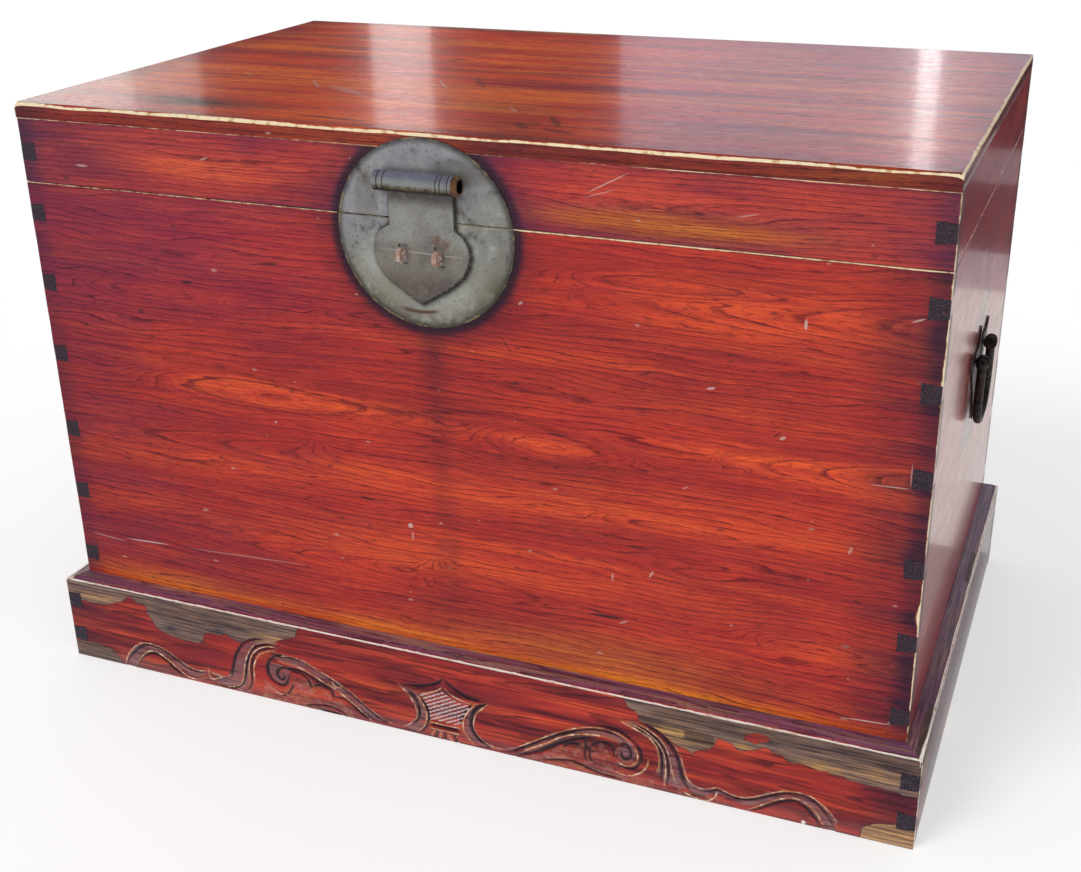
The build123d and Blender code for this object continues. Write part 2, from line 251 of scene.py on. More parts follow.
def rings_of(cells):
    """Vertices round a region of kept grid cells, in order; cells is a boolean array."""
    nu, nv = cells.shape[0] + 1, cells.shape[1] + 1
    pad = np.zeros((nu + 1, nv + 1), bool)
    pad[1:-1, 1:-1] = cells
    step = {}
    for i in range(nu - 1):
        for j in range(nv):
            low, high = pad[i + 1, j], pad[i + 1, j + 1]
            if high and not low:
                step[(i, j)] = (i + 1, j)
            elif low and not high:
                step[(i + 1, j)] = (i, j)
    for i in range(nu):
        for j in range(nv - 1):
            left, right_ = pad[i, j + 1], pad[i + 1, j + 1]
            if left and not right_:
                step[(i, j)] = (i, j + 1)
            elif right_ and not left:
                step[(i, j + 1)] = (i, j)
    start = next(iter(step))
    loop, p = [start], step[start]
    while p != start:
        loop.append(p)
        p = step[p]
    return loop


def sheet(U, V, keep, front, back, flip=False):
    """A fine face over the kept cells, walls back from its border, and one plain face behind."""
    nu, nv = len(U), len(V)
    uu, vv = np.meshgrid(U, V, indexing="ij")
    used = np.zeros((nu, nv), bool)
    used[:-1, :-1] |= keep
    used[1:, :-1] |= keep
    used[:-1, 1:] |= keep
    used[1:, 1:] |= keep
    index = -np.ones((nu, nv), int)
    index[used] = np.arange(used.sum())
    n = int(used.sum())
    u1, v1 = uu[used], vv[used]
    ii, jj = np.nonzero(keep)
    faces = np.stack([index[ii, jj], index[ii + 1, jj], index[ii + 1, jj + 1], index[ii, jj + 1]], 1).tolist()
    loop = rings_of(keep)
    bu = np.array([U[i] for i, j in loop])
    bv = np.array([V[j] for i, j in loop])
    m = len(loop)
    ids = [int(index[i, j]) for i, j in loop]
    f0, b0 = front(u1, v1), back(bu, bv)
    mids = (0.08, 0.22)
    co = np.concatenate([f0, b0] + [f0[ids] * (1 - f) + b0 * f for f in mids])
    chain = [ids] + [[n + m * (1 + i) + k for k in range(m)] for i in range(len(mids))] + [[n + k for k in range(m)]]
    for r0, r1 in zip(chain, chain[1:]):
        for k in range(m):
            q = (k + 1) % m
            faces.append([r0[k], r1[k], r1[q], r0[q]])
    faces.append([n + k for k in range(m)])
    if flip:
        faces = [f[::-1] for f in faces]
    layer = np.concatenate([np.zeros(n), np.ones(m)] + [np.full(m, f) for f in mids])
    return co, faces, layer, np.concatenate([u1] + [bu] * (1 + len(mids))), np.concatenate([v1] + [bv] * (1 + len(mids)))


def round_depth(d, r):
    """How far a face falls back at distance d from an arris of radius r."""
    r = np.maximum(r, 1e-3)
    t = np.clip(1 - d / r, 0, 1)
    return r * (1 - np.sqrt(1 - t * t * 0.999))


def pin_shift(v, pins, k):
    """Moves the dovetail grid lines in by k (0 at the inner baseline, 1 at the corner)."""
    s = np.zeros_like(v)
    for c in pins:
        for e in (-1, 1):
            s += -e * (PIN_IN - PIN_OUT) * np.exp(-((v - (c + e * PIN_IN)) / 2.5) ** 2)
    return v + s * k


def pin_lines(pins):
    return [c + e * PIN_IN for c in pins for e in (-1, 1)]


def in_pin(v, pins):
    m = np.zeros(len(v), bool)
    for c in pins:
        m |= np.abs(v - c) < PIN_IN
    return m


# ------------------------------------------------------------------ node helpers
class Tree:
    def __init__(self, name):
        self.mat = bpy.data.materials.new(name)
        self.mat.use_nodes = True
        self.t = self.mat.node_tree
        self.t.nodes.clear()
        self.out = self.t.nodes.new("ShaderNodeOutputMaterial")
        self.bsdf = self.t.nodes.new("ShaderNodeBsdfPrincipled")
        self.t.links.new(self.bsdf.outputs[0], self.out.inputs[0])

    def n(self, kind, **props):
        node = self.t.nodes.new("ShaderNode" + kind)
        for k, v in props.items():
            setattr(node, k, v)
        return node

    def put(self, socket, value):
        if isinstance(value, bpy.types.NodeSocket):
            self.t.links.new(value, socket)
        elif value is not None:
            socket.default_value = value

    def sep_x(self, vec):
        sep = self.n("SeparateXYZ")
        self.put(sep.inputs[0], vec)
        return sep.outputs["X"]

    def math(self, op, a, b=None, c=None, clamp=False):
        m = self.n("Math", operation=op, use_clamp=clamp)
        for s, v in zip(m.inputs, (a, b, c)):
            self.put(s, v)
        return m.outputs[0]

    def vmath(self, op, a, b=None, scale=None):
        m = self.n("VectorMath", operation=op)
        self.put(m.inputs[0], a)
        if b is not None:
            self.put(m.inputs[1], b)
        if scale is not None:
            self.put(m.inputs["Scale"], scale)
        return m.outputs["Value"] if op in ("LENGTH", "DISTANCE", "DOT_PRODUCT") else m.outputs["Vector"]

    def ramp(self, x, a, b, lo=0.0, hi=1.0, smooth=True):
        m = self.n("MapRange", interpolation_type="SMOOTHSTEP" if smooth else "LINEAR")
        for s, v in zip(m.inputs[:5], (x, a, b, lo, hi)):
            self.put(s, v)
        return m.outputs[0]

    def mix(self, f, a, b, mode="MIX"):
        m = self.n("Mix", data_type="RGBA", blend_type=mode)
        self.put(m.inputs[0], f)
        for s, v in zip((m.inputs[6], m.inputs[7]), (a, b)):
            if isinstance(v, (tuple, list, np.ndarray)):
                v = tuple(float(x) for x in v[:3]) + (1.0,)
            self.put(s, v)
        return m.outputs[2]

    def mixf(self, f, a, b):
        m = self.n("Mix", data_type="FLOAT")
        for s, v in zip((m.inputs[0], m.inputs[2], m.inputs[3]), (f, a, b)):
            self.put(s, v)
        return m.outputs[0]

    def attr(self, name, out="Fac"):
        a = self.n("Attribute", attribute_type="GEOMETRY", attribute_name=name)
        return a.outputs[out]

    def noise(self, vec, scale=1.0, detail=2.0, rough=0.5, dist=0.0, dims="3D"):
        m = self.n("TexNoise", noise_dimensions=dims)
        self.put(m.inputs["Vector"], vec)
        for k, v in (("Scale", scale), ("Detail", detail), ("Roughness", rough), ("Distortion", dist)):
            m.inputs[k].default_value = v
        return m.outputs[0]

    def scaled(self, vec, sx, sy, sz, off=(0, 0, 0)):
        m = self.n("Mapping", vector_type="POINT")
        self.put(m.inputs["Vector"], vec)
        m.inputs["Scale"].default_value = (sx, sy, sz)
        m.inputs["Location"].default_value = off
        return m.outputs[0]

    def mark(self, vec, at, size, turn=(0, 0, 0), after=None):
        """1 inside a soft ellipsoid at `at`, of half sizes `size`, fading to 0. `after` orders a long chain."""
        if after is not None:
            a = self.n("VectorMath", operation="MULTIPLY_ADD")
            self.put(a.inputs[0], after)
            a.inputs[1].default_value = (1e-9, 1e-9, 1e-9)
            self.put(a.inputs[2], vec)
            vec = a.outputs[0]
        m = self.n("Mapping", vector_type="TEXTURE")
        self.put(m.inputs["Vector"], vec)
        m.inputs["Location"].default_value = at
        m.inputs["Rotation"].default_value = turn
        m.inputs["Scale"].default_value = size
        return self.ramp(self.vmath("LENGTH", m.outputs[0]), 1.0, 0.55)

    def bump(self, height, strength=0.3, distance=0.001, normal=None):
        b = self.n("Bump")
        b.inputs["Strength"].default_value = strength
        b.inputs["Distance"].default_value = distance
        self.put(b.inputs["Height"], height)
        if normal is not None:
            self.put(b.inputs["Normal"], normal)
        return b.outputs[0]

    def finish(self, color=None, rough=None, normal=None, metallic=None, **fixed):
        self.put(self.bsdf.inputs["Base Color"], color)
        self.put(self.bsdf.inputs["Roughness"], rough)
        self.put(self.bsdf.inputs["Normal"], normal)
        self.put(self.bsdf.inputs["Metallic"], metallic)
        for k, v in fixed.items():
            self.bsdf.inputs[k.replace("_", " ")].default_value = v
        return self.mat


# ------------------------------------------------------------------ lacquered wood
# Each wooden piece carries point attributes: gco (along the grain, across it, depth; metres), ring (growth
# ring height), tint (large-scale lacquer colour, with painted light and shade on some pieces), wear (bare arris), bare
# (unlacquered inside), endg (end grain).
CREAM = srgb(236, 216, 178)
TAN = srgb(196, 150, 96)


def wood_material(name, marks=(), marks_dark=(), fine=1.0, gloss=1.0, flat=1.0, tails=False):
    T = Tree(name)
    g = T.attr("gco", "Vector")
    obj = T.n("TexCoord").outputs["Object"]
    tint = T.attr("tint", "Color")
    ring, wear, bare, endg = (T.attr(k) for k in ("ring", "wear", "bare", "endg"))

    def n2(sx, sy, off, detail, rough=0.55):
        return T.noise(T.scaled(g, sx, sy, 1, off), 1.0, detail, rough, dims="2D")

    # growth rings: a slow rise to a thin dark line, then a sharp step
    wob = n2(5, 46, (0, 0, 0), 3.0)
    wob2 = n2(34, 260, (3, 1, 0), 2.0)
    r = T.math("ADD", ring, T.math("ADD", T.math("MULTIPLY", wob, 0.55), T.math("MULTIPLY", wob2, 0.22)))
    t = T.math("FRACT", r)
    fall = T.ramp(t, 1.0, 0.95)
    line = T.math("MULTIPLY", T.ramp(t, 0.74, 0.94), fall)
    late = T.math("MULTIPLY", T.ramp(t, 0.15, 0.95), fall)
    t2 = T.math("FRACT", T.math("ADD", T.math("MULTIPLY", r, 2.6), T.math("MULTIPLY", wob2, 0.9)))
    line2 = T.math("MULTIPLY", T.math("MULTIPLY", T.ramp(t2, 0.70, 0.92), T.ramp(t2, 1.0, 0.95)), 0.34)
    fib1 = T.ramp(n2(11, 300, (1, 2, 0), 4.0, 0.62), 0.42, 0.66)
    fib2 = T.ramp(n2(60, 900, (5, 2, 0), 3.0, 0.62), 0.48, 0.66)
    cloud = n2(4, 17, (11, 3, 0), 3.0, 0.6)
    c2 = n2(6, 120, (13, 5, 0), 4.0, 0.6)
    c3 = n2(22, 520, (17, 9, 0), 3.0, 0.6)
    grit = n2(420, 760, (19, 4, 0), 2.0, 0.6)
    vary = T.ramp(n2(5, 30, (7, 7, 0), 2.0), 0.36, 0.62, 0.45, 1.0)
    line = T.math("MULTIPLY", line, vary)
    brk = T.math("ADD", 0.62, T.math("MULTIPLY", fib2, 0.38))
    dark = T.math("MULTIPLY", T.math("MULTIPLY", line, brk), 0.84)
    dark = T.math("ADD", dark, T.math("ADD", line2, T.math("MULTIPLY", late, 0.20)))
    dark = T.math("ADD", dark, T.math("MULTIPLY", fib1, 0.12))
    dark = T.math("ADD", dark, T.math("MULTIPLY", fib2, 0.34 * fine))
    dark = T.math("ADD", dark, T.math("MULTIPLY", T.ramp(grit, 0.50, 0.72), 0.16 * fine))
    dark = T.math("ADD", dark, T.math("MULTIPLY", T.attr("dk"), T.math("ADD", 0.7, T.math("MULTIPLY", fib2, 0.5))), clamp=True)
    hue = T.math("ADD", T.math("MULTIPLY", cloud, 0.30), T.math("ADD", T.math("MULTIPLY", c2, 0.42), T.math("MULTIPLY", c3, 0.28)))
    warm = T.mix(T.ramp(hue, 0.41, 0.59), (0.84, 0.64, 1.02), (1.19, 1.30, 0.90))
    lit = T.mix(1.0, tint, warm, "MULTIPLY")
    deep = T.mix(1.0, tint, (0.30, 0.15, 0.42), "MULTIPLY")
    lac = T.mix(dark, lit, deep)
    inner = T.mix(T.math("MULTIPLY", dark, 0.8), srgb(186, 140, 94), srgb(122, 80, 48))
    col = T.mix(bare, lac, inner)
    # near-black, oil-soaked end grain with fine speckle
    speck = T.noise(T.scaled(obj, 700, 700, 700), 1.0, 3.0, 0.65)
    eg = T.mix(T.ramp(speck, 0.40, 0.72), srgb(22, 15, 28), srgb(88, 64, 76))
    eg = T.mix(T.math("MULTIPLY", T.ramp(T.noise(T.scaled(obj, 150, 150, 150, (6, 6, 6)), 1.0, 4.0, 0.65), 0.56, 0.70), 0.6), eg, T.mix(1.0, tint, (0.5, 0.4, 0.6), "MULTIPLY"))
    col = T.mix(endg, col, eg)
    if tails:
        # the ends of the tails, seen on the end of the chest: brown, half-sealed end grain
        ax = T.math("ABSOLUTE", T.sep_x(obj))
        tip = T.math("MULTIPLY", T.ramp(ax, 0.4743, 0.4748), T.math("SUBTRACT", 1.0, endg))
        col = T.mix(T.math("MULTIPLY", tip, 0.9), col, T.mix(T.ramp(speck, 0.38, 0.68), srgb(66, 40, 36), srgb(142, 98, 68)))
    # small nicks scattered over the board
    scat = T.n("TexVoronoi", feature="F1", voronoi_dimensions="2D")
    T.put(scat.inputs["Vector"], T.scaled(g, 24, 50, 1))
    scat.inputs["Scale"].default_value = 1.0
    scat.inputs["Randomness"].default_value = 1.0
    sep = T.n("SeparateColor")
    T.put(sep.inputs[0], scat.outputs["Color"])
    some = T.ramp(sep.outputs[0], 0.76, 0.78)
    ding = T.math("MULTIPLY", T.ramp(scat.outputs["Distance"], T.math("ADD", 0.035, T.math("MULTIPLY", T.math("MULTIPLY", sep.outputs[1], sep.outputs[1]), 0.12)), 0.02), some)
    ding = T.math("MULTIPLY", ding, T.math("SUBTRACT", 1.0, bare))
    col = T.mix(T.math("MULTIPLY", ding, 0.55), col, T.mix(T.ramp(sep.outputs[2], 0.60, 0.70), srgb(44, 22, 32), srgb(190, 150, 136)))
    chip = pale = last = None
    for at, size, turn, strength in marks_dark:
        m = T.math("MULTIPLY", T.mark(obj, at, size, turn, last), strength)
        chip = last = m if chip is None else T.math("MAXIMUM", chip, m)
    if chip is not None:
        col = T.mix(chip, col, srgb(38, 20, 28))
    for at, size, turn, strength in marks:
        m = T.math("MULTIPLY", T.mark(obj, at, size, turn, last), strength)
        pale = last = m if pale is None else T.math("MAXIMUM", pale, m)
    if pale is not None:
        col = T.mix(pale, col, srgb(196, 168, 160))
    # worn arrises: bare pale wood with a tan fringe, broken up
    wn = T.noise(T.scaled(obj, 110, 110, 110, (4, 4, 4)), 1.0, 4.0, 0.62)
    wv = T.math("ADD", wear, T.math("MULTIPLY", T.math("SUBTRACT", wn, 0.5), 0.7))
    has = T.ramp(wear, 0.02, 0.12)
    col = T.mix(T.math("MULTIPLY", T.math("MULTIPLY", T.ramp(wv, 0.30, 0.46), has), 0.85), col, srgb(150, 96, 58))
    worn = T.math("MULTIPLY", T.ramp(wv, 0.46, 0.58), has)
    col = T.mix(worn, col, T.mix(T.ramp(wn, 0.30, 0.50), TAN, CREAM))
    # surface
    rr = T.math("ADD", 0.15 / gloss, T.math("MULTIPLY", n2(18, 60, (6, 6, 0), 3.0, 0.6), 0.16))
    rr = T.math("ADD", rr, T.math("MULTIPLY", dark, 0.04))
    rr = T.mixf(T.math("MAXIMUM", worn, bare), rr, 0.62)
    rr = T.mixf(endg, rr, 0.42)
    nrm = T.bump(T.math("SUBTRACT", 1.0, fib2), 0.14 * flat, 0.0005)
    nrm = T.bump(n2(6, 26, (2, 2, 0), 1.0, 0.4), 0.10 * flat, 0.004, nrm)
    return T.finish(col, rr, nrm, Specular_IOR_Level=0.5, Coat_Weight=0.30 * gloss, Coat_Roughness=0.10)


RED = srgb(190, 52, 30)
ORANGE = srgb(226, 84, 34)
CRIMSON = srgb(150, 36, 38)
PURPLE = srgb(66, 26, 46)
GOLD = srgb(232, 138, 44)


def blob(x, z, cx, cz, sx, sz):
    return np.exp(-((x - cx) / sx) ** 2 - ((z - cz) / sz) ** 2)


def paint(base, *steps):
    c = base
    for weight, colour in steps:
        w = np.clip(weight, 0, 1)[:, None]
        c = c * (1 - w) + colour[None, :] * w
    return c


def rgba(c):
    return np.concatenate([c, np.ones((len(c), 1))], 1)


LOOPS = [(118, 358, 46, 8.5, 1.35, 2.6, 0.0), (-190, 368, 118, 14, 1.25, 1.9, 0.0), (52, 186, 52, 5.5, 1.1, 2.2, 0.02),
         (388, 190, 42, 6, 1.1, 2.3, 0.0), (352, 188, 16, 3.2, 1.0, 1.8, 0.0), (-330, 466, 60, 6, 1.0, 2.0, -0.03), (232, 534, 66, 7, 1.1, 2.2, 0.0),
         (-60, 470, 44, 4.5, 0.9, 2.2, 0.03), (250, 292, 60, 5, 1.0, 2.0, 0.0)]


def loop_q(x, z, cx, cz, a, b, turn):
    dx = x - cx
    dz = z - cz - turn * dx
    return np.hypot(dx / a, dz / (b * (1 - 0.25 * np.clip(dx / a, -1.5, 1.5))))


def front_ring(x, z):
    """Ring height over the front wall, with the flat-sawn figures of its boards."""
    w = z + 3.2 * np.sin(x / 210 + z / 90) + 2.2 * np.sin(x / 97 - z / 60)
    f = w / 6.3 + 3.4 * fbm(x / 230, w / 30, 3, 3) + 1.5 * fbm(x / 90, w / 11, 6, 2)
    f += 2.0 * blob(x, z, 330, 240, 160, 14) + 1.6 * blob(x, z, -330, 270, 120, 10)
    # nested points opening to the right
    for x0, z0, px, pz, x1 in ((285, 372, 48, 11.5, 900), (-300, 184, 62, 9.5, 10), (150, 515, 70, 15, 900), (-440, 300, 90, 12, -120)):
        h = (x - x0) / px - ((z - z0 - 0.02 * (x - x0)) / pz) ** 2
        k = sstep(h, -0.35, 0.10) * sstep(x, x1, x1 - 60)
        f = lerp(f, math.floor(z0 / 6.3) + h - 0.38, k)
    for cx, cz, a, b, kk, reach, turn in LOOPS:
        q = loop_q(x, z, cx, cz, a, b, turn)
        f = lerp(f, math.floor(cz / 6.3) + kk * (q - 1) - 0.38, 1 - sstep(q, reach * 0.55, reach))
    return f


LINES = [([(-330, 392), (-260, 390), (-200, 385), (-150, 375), (-100, 372), (-50, 370), (0, 378), (50, 385), (100, 380), (150, 366), (170, 358)], 2.0, 0.75),
         ([(-300, 352), (-230, 349), (-160, 352), (-100, 360), (-50, 366)], 1.8, 0.65),
         ([(-30, 352), (10, 341), (60, 337), (120, 339), (180, 345), (230, 352)], 1.8, 0.6),
         ([(20, 372), (28, 362), (32, 352), (40, 344)], 1.6, 0.35),
         ([(-310, 168), (-220, 158), (-120, 154), (-20, 160), (60, 172), (110, 184), (60, 196), (-20, 206), (-120, 210), (-220, 204), (-310, 196)], 1.8, 0.35)]


def front_extra(x, z):
    """Long dark lines of the figure."""
    out = np.zeros(len(x))
    for pts, w, k in LINES:
        d, _ = seg_dist(x, z, smooth_line(pts, 2))
        out = np.maximum(out, k * np.exp(-(d / w) ** 2) * (0.6 + 0.6 * noise2(x / 40, z / 10, 131)))
    return out


def front_tint(x, z, sy=None):
    n = fbm(x / 140 + 9, z / 30, 5, 4)
    n2 = fbm(x / 420, z / 15 + 4, 8, 3)
    c = np.tile(lerp(CRIMSON, RED, 0.45), (len(x), 1)) * (1.05 + 0.2 * (n[:, None] - 0.5))
    c = paint(c, (0.60 * sstep(n, 0.30, 0.75), RED * 1.1), (0.35 * sstep(n2, 0.50, 0.80), ORANGE * 0.95))
    # warm bands that follow the figure
    warm = (0.95 * sstep(loop_q(x, z, *LOOPS[0][:4], 0.0), 1.15, 0.9) + 0.70 * sstep(loop_q(x, z, *LOOPS[1][:4], 0.0), 1.15, 0.85)
            + 0.5 * sstep((x - 290) / 48 - ((z - 372) / 11.5) ** 2, -0.1, 0.4) + 0.55 * blob(x, z, 330, 520, 150, 28)
            + 0.50 * blob(x, z, 180, 300, 190, 26) + 0.48 * blob(x, z, 300, 378, 60, 12) + 0.40 * blob(x, z, -120, 290, 260, 16)
            + 0.42 * blob(x, z, -60, 205, 230, 12) + 0.38 * blob(x, z, 330, 420, 130, 22) + 0.30 * blob(x, z, 120, 215, 220, 22))
    c = paint(c, (warm, ORANGE))
    # gold near the foot of the board: partly the lacquer's colour, partly painted light raised against the shade of the
    # plinth's ledge
    glow = (0.75 * blob(x, z, 150, 128, 150, 24) + 0.85 * blob(x, z, 265, 106, 190, 11) + 0.75 * blob(x, z, -330, 116, 130, 13)
            + 0.75 * blob(x, z, -60, 112, 130, 11))
    c = paint(c, (glow * (0.55 + 0.6 * (n2 - 0.3)), GOLD * 0.85))
    # darker, purple towards the left, the corners and round the lock; the darkening towards the right corner is painted
    # shade
    dk = 0.22 * sstep(x, -250, -475) + 0.12 * sstep(x, -60, -300) + 0.62 * sstep(x, 385, 450) * (0.7 + 0.6 * sstep(n2, 0.4, 0.6))
    dk = dk + 0.45 * sstep(x, -440, -472) + 0.55 * sstep(x, 446, 472) + 0.25 * sstep(z, 535, 571) * sstep(x, 60, -200)
    dk = dk + 0.35 * sstep(np.abs(z - 500), 40, 0) * sstep(x, 60, -420) * 0.7
    c = paint(c, (dk * (0.75 + 0.5 * (n - 0.5)), PURPLE), (0.20 * sstep(x, -60, -475) * sstep(n, 0.62, 0.42), srgb(112, 30, 76)), (0.24 * sstep(z, 380, 520) * sstep(x, 120, -300), srgb(140, 36, 86)))
    d = np.hypot(x + 10, z - 558)
    c = paint(c, (0.85 * sstep(d, 106, 93) + 0.35 * sstep(d, 135, 98), PURPLE * 0.75))
    stain = 0.75 * np.exp(-((x + 4 + 0.03 * (z - 300)) / 15) ** 2) * sstep(z, 100, 200) * (0.5 + 0.5 * sstep(z, 330, 460))
    c = paint(c, (0.62 * stain, PURPLE * 0.8))
    # brighter towards the foot: painted light to offset the shade of the plinth's ledge
    return c * (1 + 0.40 * sstep(z, 128, 104))[:, None]


def board(name, body, replaces, U, V, keep, place, layout, mat, smooth=34, flip=False, parts=None):
    co, faces, layer, u, v = parts or slab(U, V, keep, place, flip)
    attrs = layout(co, layer, u, v)
    return mesh_object(name, co, faces, body, smooth, [mat], attrs, replaces)


def base_attrs(co, layer, along, across, depth, ring, tint, wear, bare, endg, dk=0.0):
    n = len(co)
    z = lambda a: np.broadcast_to(np.asarray(a, float), (n,)).copy()
    return {"gco": np.stack([z(along), z(across), z(depth)], 1) / 1000.0, "ring": z(ring), "tint": rgba(tint),
            "wear": z(wear * np.where(layer < 0.01, 1.0, np.where(layer < 0.1, 0.40, 0.0))), "bare": z(bare), "endg": z(endg), "dk": z(dk)}


def front_wall(name, node, body, z0, z1, pins, y_out, y_in, mat, edge_r, ring_f, tint_f, wear_f, flip, step=6.5, dk_f=None):
    """A wall with tails at both ends. y_out is its outer face."""
    sgn = 1.0 if y_in > y_out else -1.0
    U = spread(-HW, HW, step, extra=[-HW + BT, HW - BT])
    V = spread(z0, z1, step, extra=pin_lines(pins))
    uc, vc = (U[1:] + U[:-1]) / 2, (V[1:] + V[:-1]) / 2
    keep = ~((np.abs(uc) > HW - BT)[:, None] & in_pin(vc, pins)[None, :])

    def place(layer, u, v):
        k = np.clip((np.abs(u) - (HW - BT)) / BT, 0, 1)
        z = pin_shift(v, pins, k)
        if layer:
            return np.stack([u, np.full_like(u, y_in), z], 1)
        rs, rt, rb = edge_r
        jit = lambda s, q: 0.75 + 0.5 * noise2(q / 23.0, q * 0, s)
        d = round_depth(HW - np.abs(u), rs * jit(1, z))
        d = np.maximum(d, round_depth(z1 - v, rt * jit(2, u)))
        d = np.maximum(d, round_depth(v - z0, rb * jit(3, u)))
        wav = 0.25 * (fbm(u / 130, z / 90, 21, 2) - 0.5)
        d = np.maximum(d + wav + 0.12, 0.0)
        return np.stack([u, y_out + sgn * d, z], 1)

    def layout(co, layer, u, v):
        x, z = co[:, 0], co[:, 2]
        outer = layer < 0.5
        inner = layer > 0.99
        return base_attrs(co, layer, x, z, co[:, 1], np.where(inner, z / 5.4, ring_f(x, z)), tint_f(x, z),
                          np.where(outer, wear_f(x, z), 0), inner, 0, dk_f(x, z) if dk_f else 0.0)

    parts = sheet(U, V, keep, lambda u, v: place(0, u, v), lambda u, v: place(1, u, v), flip)
    return board(name, body, [node], U, V, keep, place, layout, mat, parts=parts)


def end_wall(name, node, body, z0, z1, pins, side, mat, edge_r, ring_f, tint_f, wear_f):
    """An end wall: pins through the front and back walls show their end grain there."""
    xo, xi = side * HW, side * (HW - BT)
    U = spread(YF, YB, 6.5, extra=[YF + BT, YB - BT])
    V = spread(z0, z1, 6.0, extra=pin_lines(pins))
    uc, vc = (U[1:] + U[:-1]) / 2, (V[1:] + V[:-1]) / 2
    tip = (uc < YF + BT) | (uc > YB - BT)
    keep = ~(tip[:, None] & ~in_pin(vc, pins)[None, :])

    def place(layer, u, v):
        z = pin_shift(v, pins, 0.0 if layer else 1.0)
        tipk = sstep(np.minimum(u - YF, YB - u), BT + 0.01, BT - 0.5)
        z = np.where(tipk > 0, z, v)
        if layer:
            return np.stack([np.full_like(u, xi), u, z], 1)
        rs, rt, rb = edge_r
        jit = lambda s, q: 0.75 + 0.5 * noise2(q / 23.0, q * 0, s)
        d = round_depth(np.minimum(u - YF, YB - u), rs * jit(1, z))
        d = np.maximum(d, round_depth(z1 - v, rt * jit(5, u)))
        d = np.maximum(d, round_depth(v - z0, rb * jit(6, u)))
        d = np.maximum(d + 0.22 * (fbm(u / 130, z / 90, 31, 2) - 0.5) + 0.11, 0.0)
        return np.stack([xo - side * d, u, z], 1)

    def layout(co, layer, u, v):
        y, z = co[:, 1], co[:, 2]
        outer = layer < 0.5
        endg = ((y < YF + 0.9) | (y > YB - 0.9)) & (np.abs(co[:, 0]) > HW - BT - 1)
        wear = np.where(outer, wear_f(y, z), 0)
        bare = (layer > 0.99) & (y > YF + BT - 1) & (y < YB - BT + 1)
        return base_attrs(co, layer, y, z, co[:, 0], ring_f(y, z), tint_f(y, z), wear * (1 - endg), bare, endg)

    return board(name, body, [node], U, V, keep, place, layout, mat, flip=(side < 0))


# ------------------------------------------------------------------ camera
cam_data = bpy.data.cameras.new("camera")
cam = bpy.data.objects.new("camera", cam_data)
scene.collection.objects.link(cam)
right = Vector((0.92766759, 0.37315046, -0.01384127))
down = Vector((0.13799069, -0.37702287, -0.91586698))
fwd = Vector((-0.34697466, 0.84771014, -0.40124319))
m = Matrix.Identity(4)
for r in range(3):
    m[r][0], m[r][1], m[r][2] = right[r], -down[r], -fwd[r]
m[0][3], m[1][3], m[2][3] = 0.59964, -1.47432, 0.93813
cam.matrix_world = m
cam_data.sensor_width = 36.0
cam_data.lens = 1452.05 / 1081 * 36.0
cam_data.shift_x = (540.5 - 552.2) / 1081
cam_data.shift_y = (427.5 - 436.0) / 1081
cam_data.clip_start = 0.05
scene.camera = cam

# ------------------------------------------------------------------ materials of the boards
def F(x, z, sx, sz, turn=0.0, s=0.8, y=YF):
    """A mark on the front face."""
    return ((x / 1000, y / 1000, z / 1000), (sx / 1000, 0.004, sz / 1000), (0, math.radians(turn), 0), s)


front_pale = [F(355, 512, 1.8, 6, 0, .75), F(-44, 244, 3.4, 3.6, 20, .8), F(-42, 232, 1.5, 6, 0, .45), F(272, 441, 5, 1.6, -12, .7),
              F(218, 238, 5.5, 1.3, -60, .6), F(340, 402, 4, 2, -30, .6), F(86, 501, 3.2, 1.6, -40, .6), F(178, 227, 1.4, 5, 0, .5),
              F(-383, 162, 34, 1.1, -2.5, .8), F(-250, 168, 95, 0.7, -3, .45), F(-438, 158, 28, 0.8, 4, .5), F(437, 121, 26, 0.9, -3, .85),
              F(462, 126, 9, 1.6, -22, .9), F(438, 370, 22, 0.8, -2, .55), F(456, 384, 0.7, 14, 0, .45), F(450, 527, 7, 1.2, -22, .6),
              F(90, 240, 3, 1, 0, .5), F(-196, 338, 2, 1.5, 0, .6), F(250, 337, 4, 0.8, -35, .5), F(190, 178, 6, 1.1, -25, .55),
              F(-440, 628, 7, 1.2, 0, .6), F(408, 300, 2, 5, 20, .4), F(300, 198, 2, 1, 0, .5)]
front_dark = [F(172, 181, 24, 1.9, -2, .9), F(160, 185, 10, 1.2, 12, .8), F(-188, 511, 16, 1.8, -4, .75), F(-287, 481, 9, 2.6, -6, .7),
              F(-93, 267, 11, 1.8, 4, .75), F(205, 265, 16, 1.3, 0, .75), F(-436, 481, 26, 1.1, -8, .7), F(-432, 335, 14, 1.6, 24, .6),
              F(70, 458, 14, 0.8, 52, .6), F(-165, 255, 9, 1, -25, .6), F(335, 405, 7, 1, -40, .7), F(208, 446, 8, 1, -20, .6),
              F(-395, 265, 9, 1.6, 0, .6), F(418, 248, 6, 1.5, 15, .6), F(-70, 140, 8, 1, 0, .5), F(120, 372, 13, 1.4, 0, .7),
              F(-350, 443, 4, 3.5, 0, .6), F(378, 196, 8, 1.2, -10, .5)]
wood_front = wood_material("lacquer_front", front_pale, front_dark, tails=True)
lid_pale = [F(172, 622, 26, 0.7, -28, .7), F(165, 612, 18, 0.6, -18, .5), F(-250, 612, 6, 1.2, -20, .5), F(300, 604, 12, 0.7, -12, .5),
            F(-400, 594, 9, 1.5, 0, .5), F(60, 606, 10, 0.6, -30, .4)]
lid_dark = [F(-170, 590, 8, 1.2, 0, .5), F(240, 626, 7, 1.3, -10, .5), F(30, 628, 3, 2.6, 0, .5)]
wood_lid_front = wood_material("lacquer_lid_front", lid_pale, lid_dark, tails=True)
wood_plain = wood_material("lacquer_board", fine=0.9, tails=True)
wood_side = wood_material("lacquer_side", fine=0.7, gloss=1.25, flat=0.35)


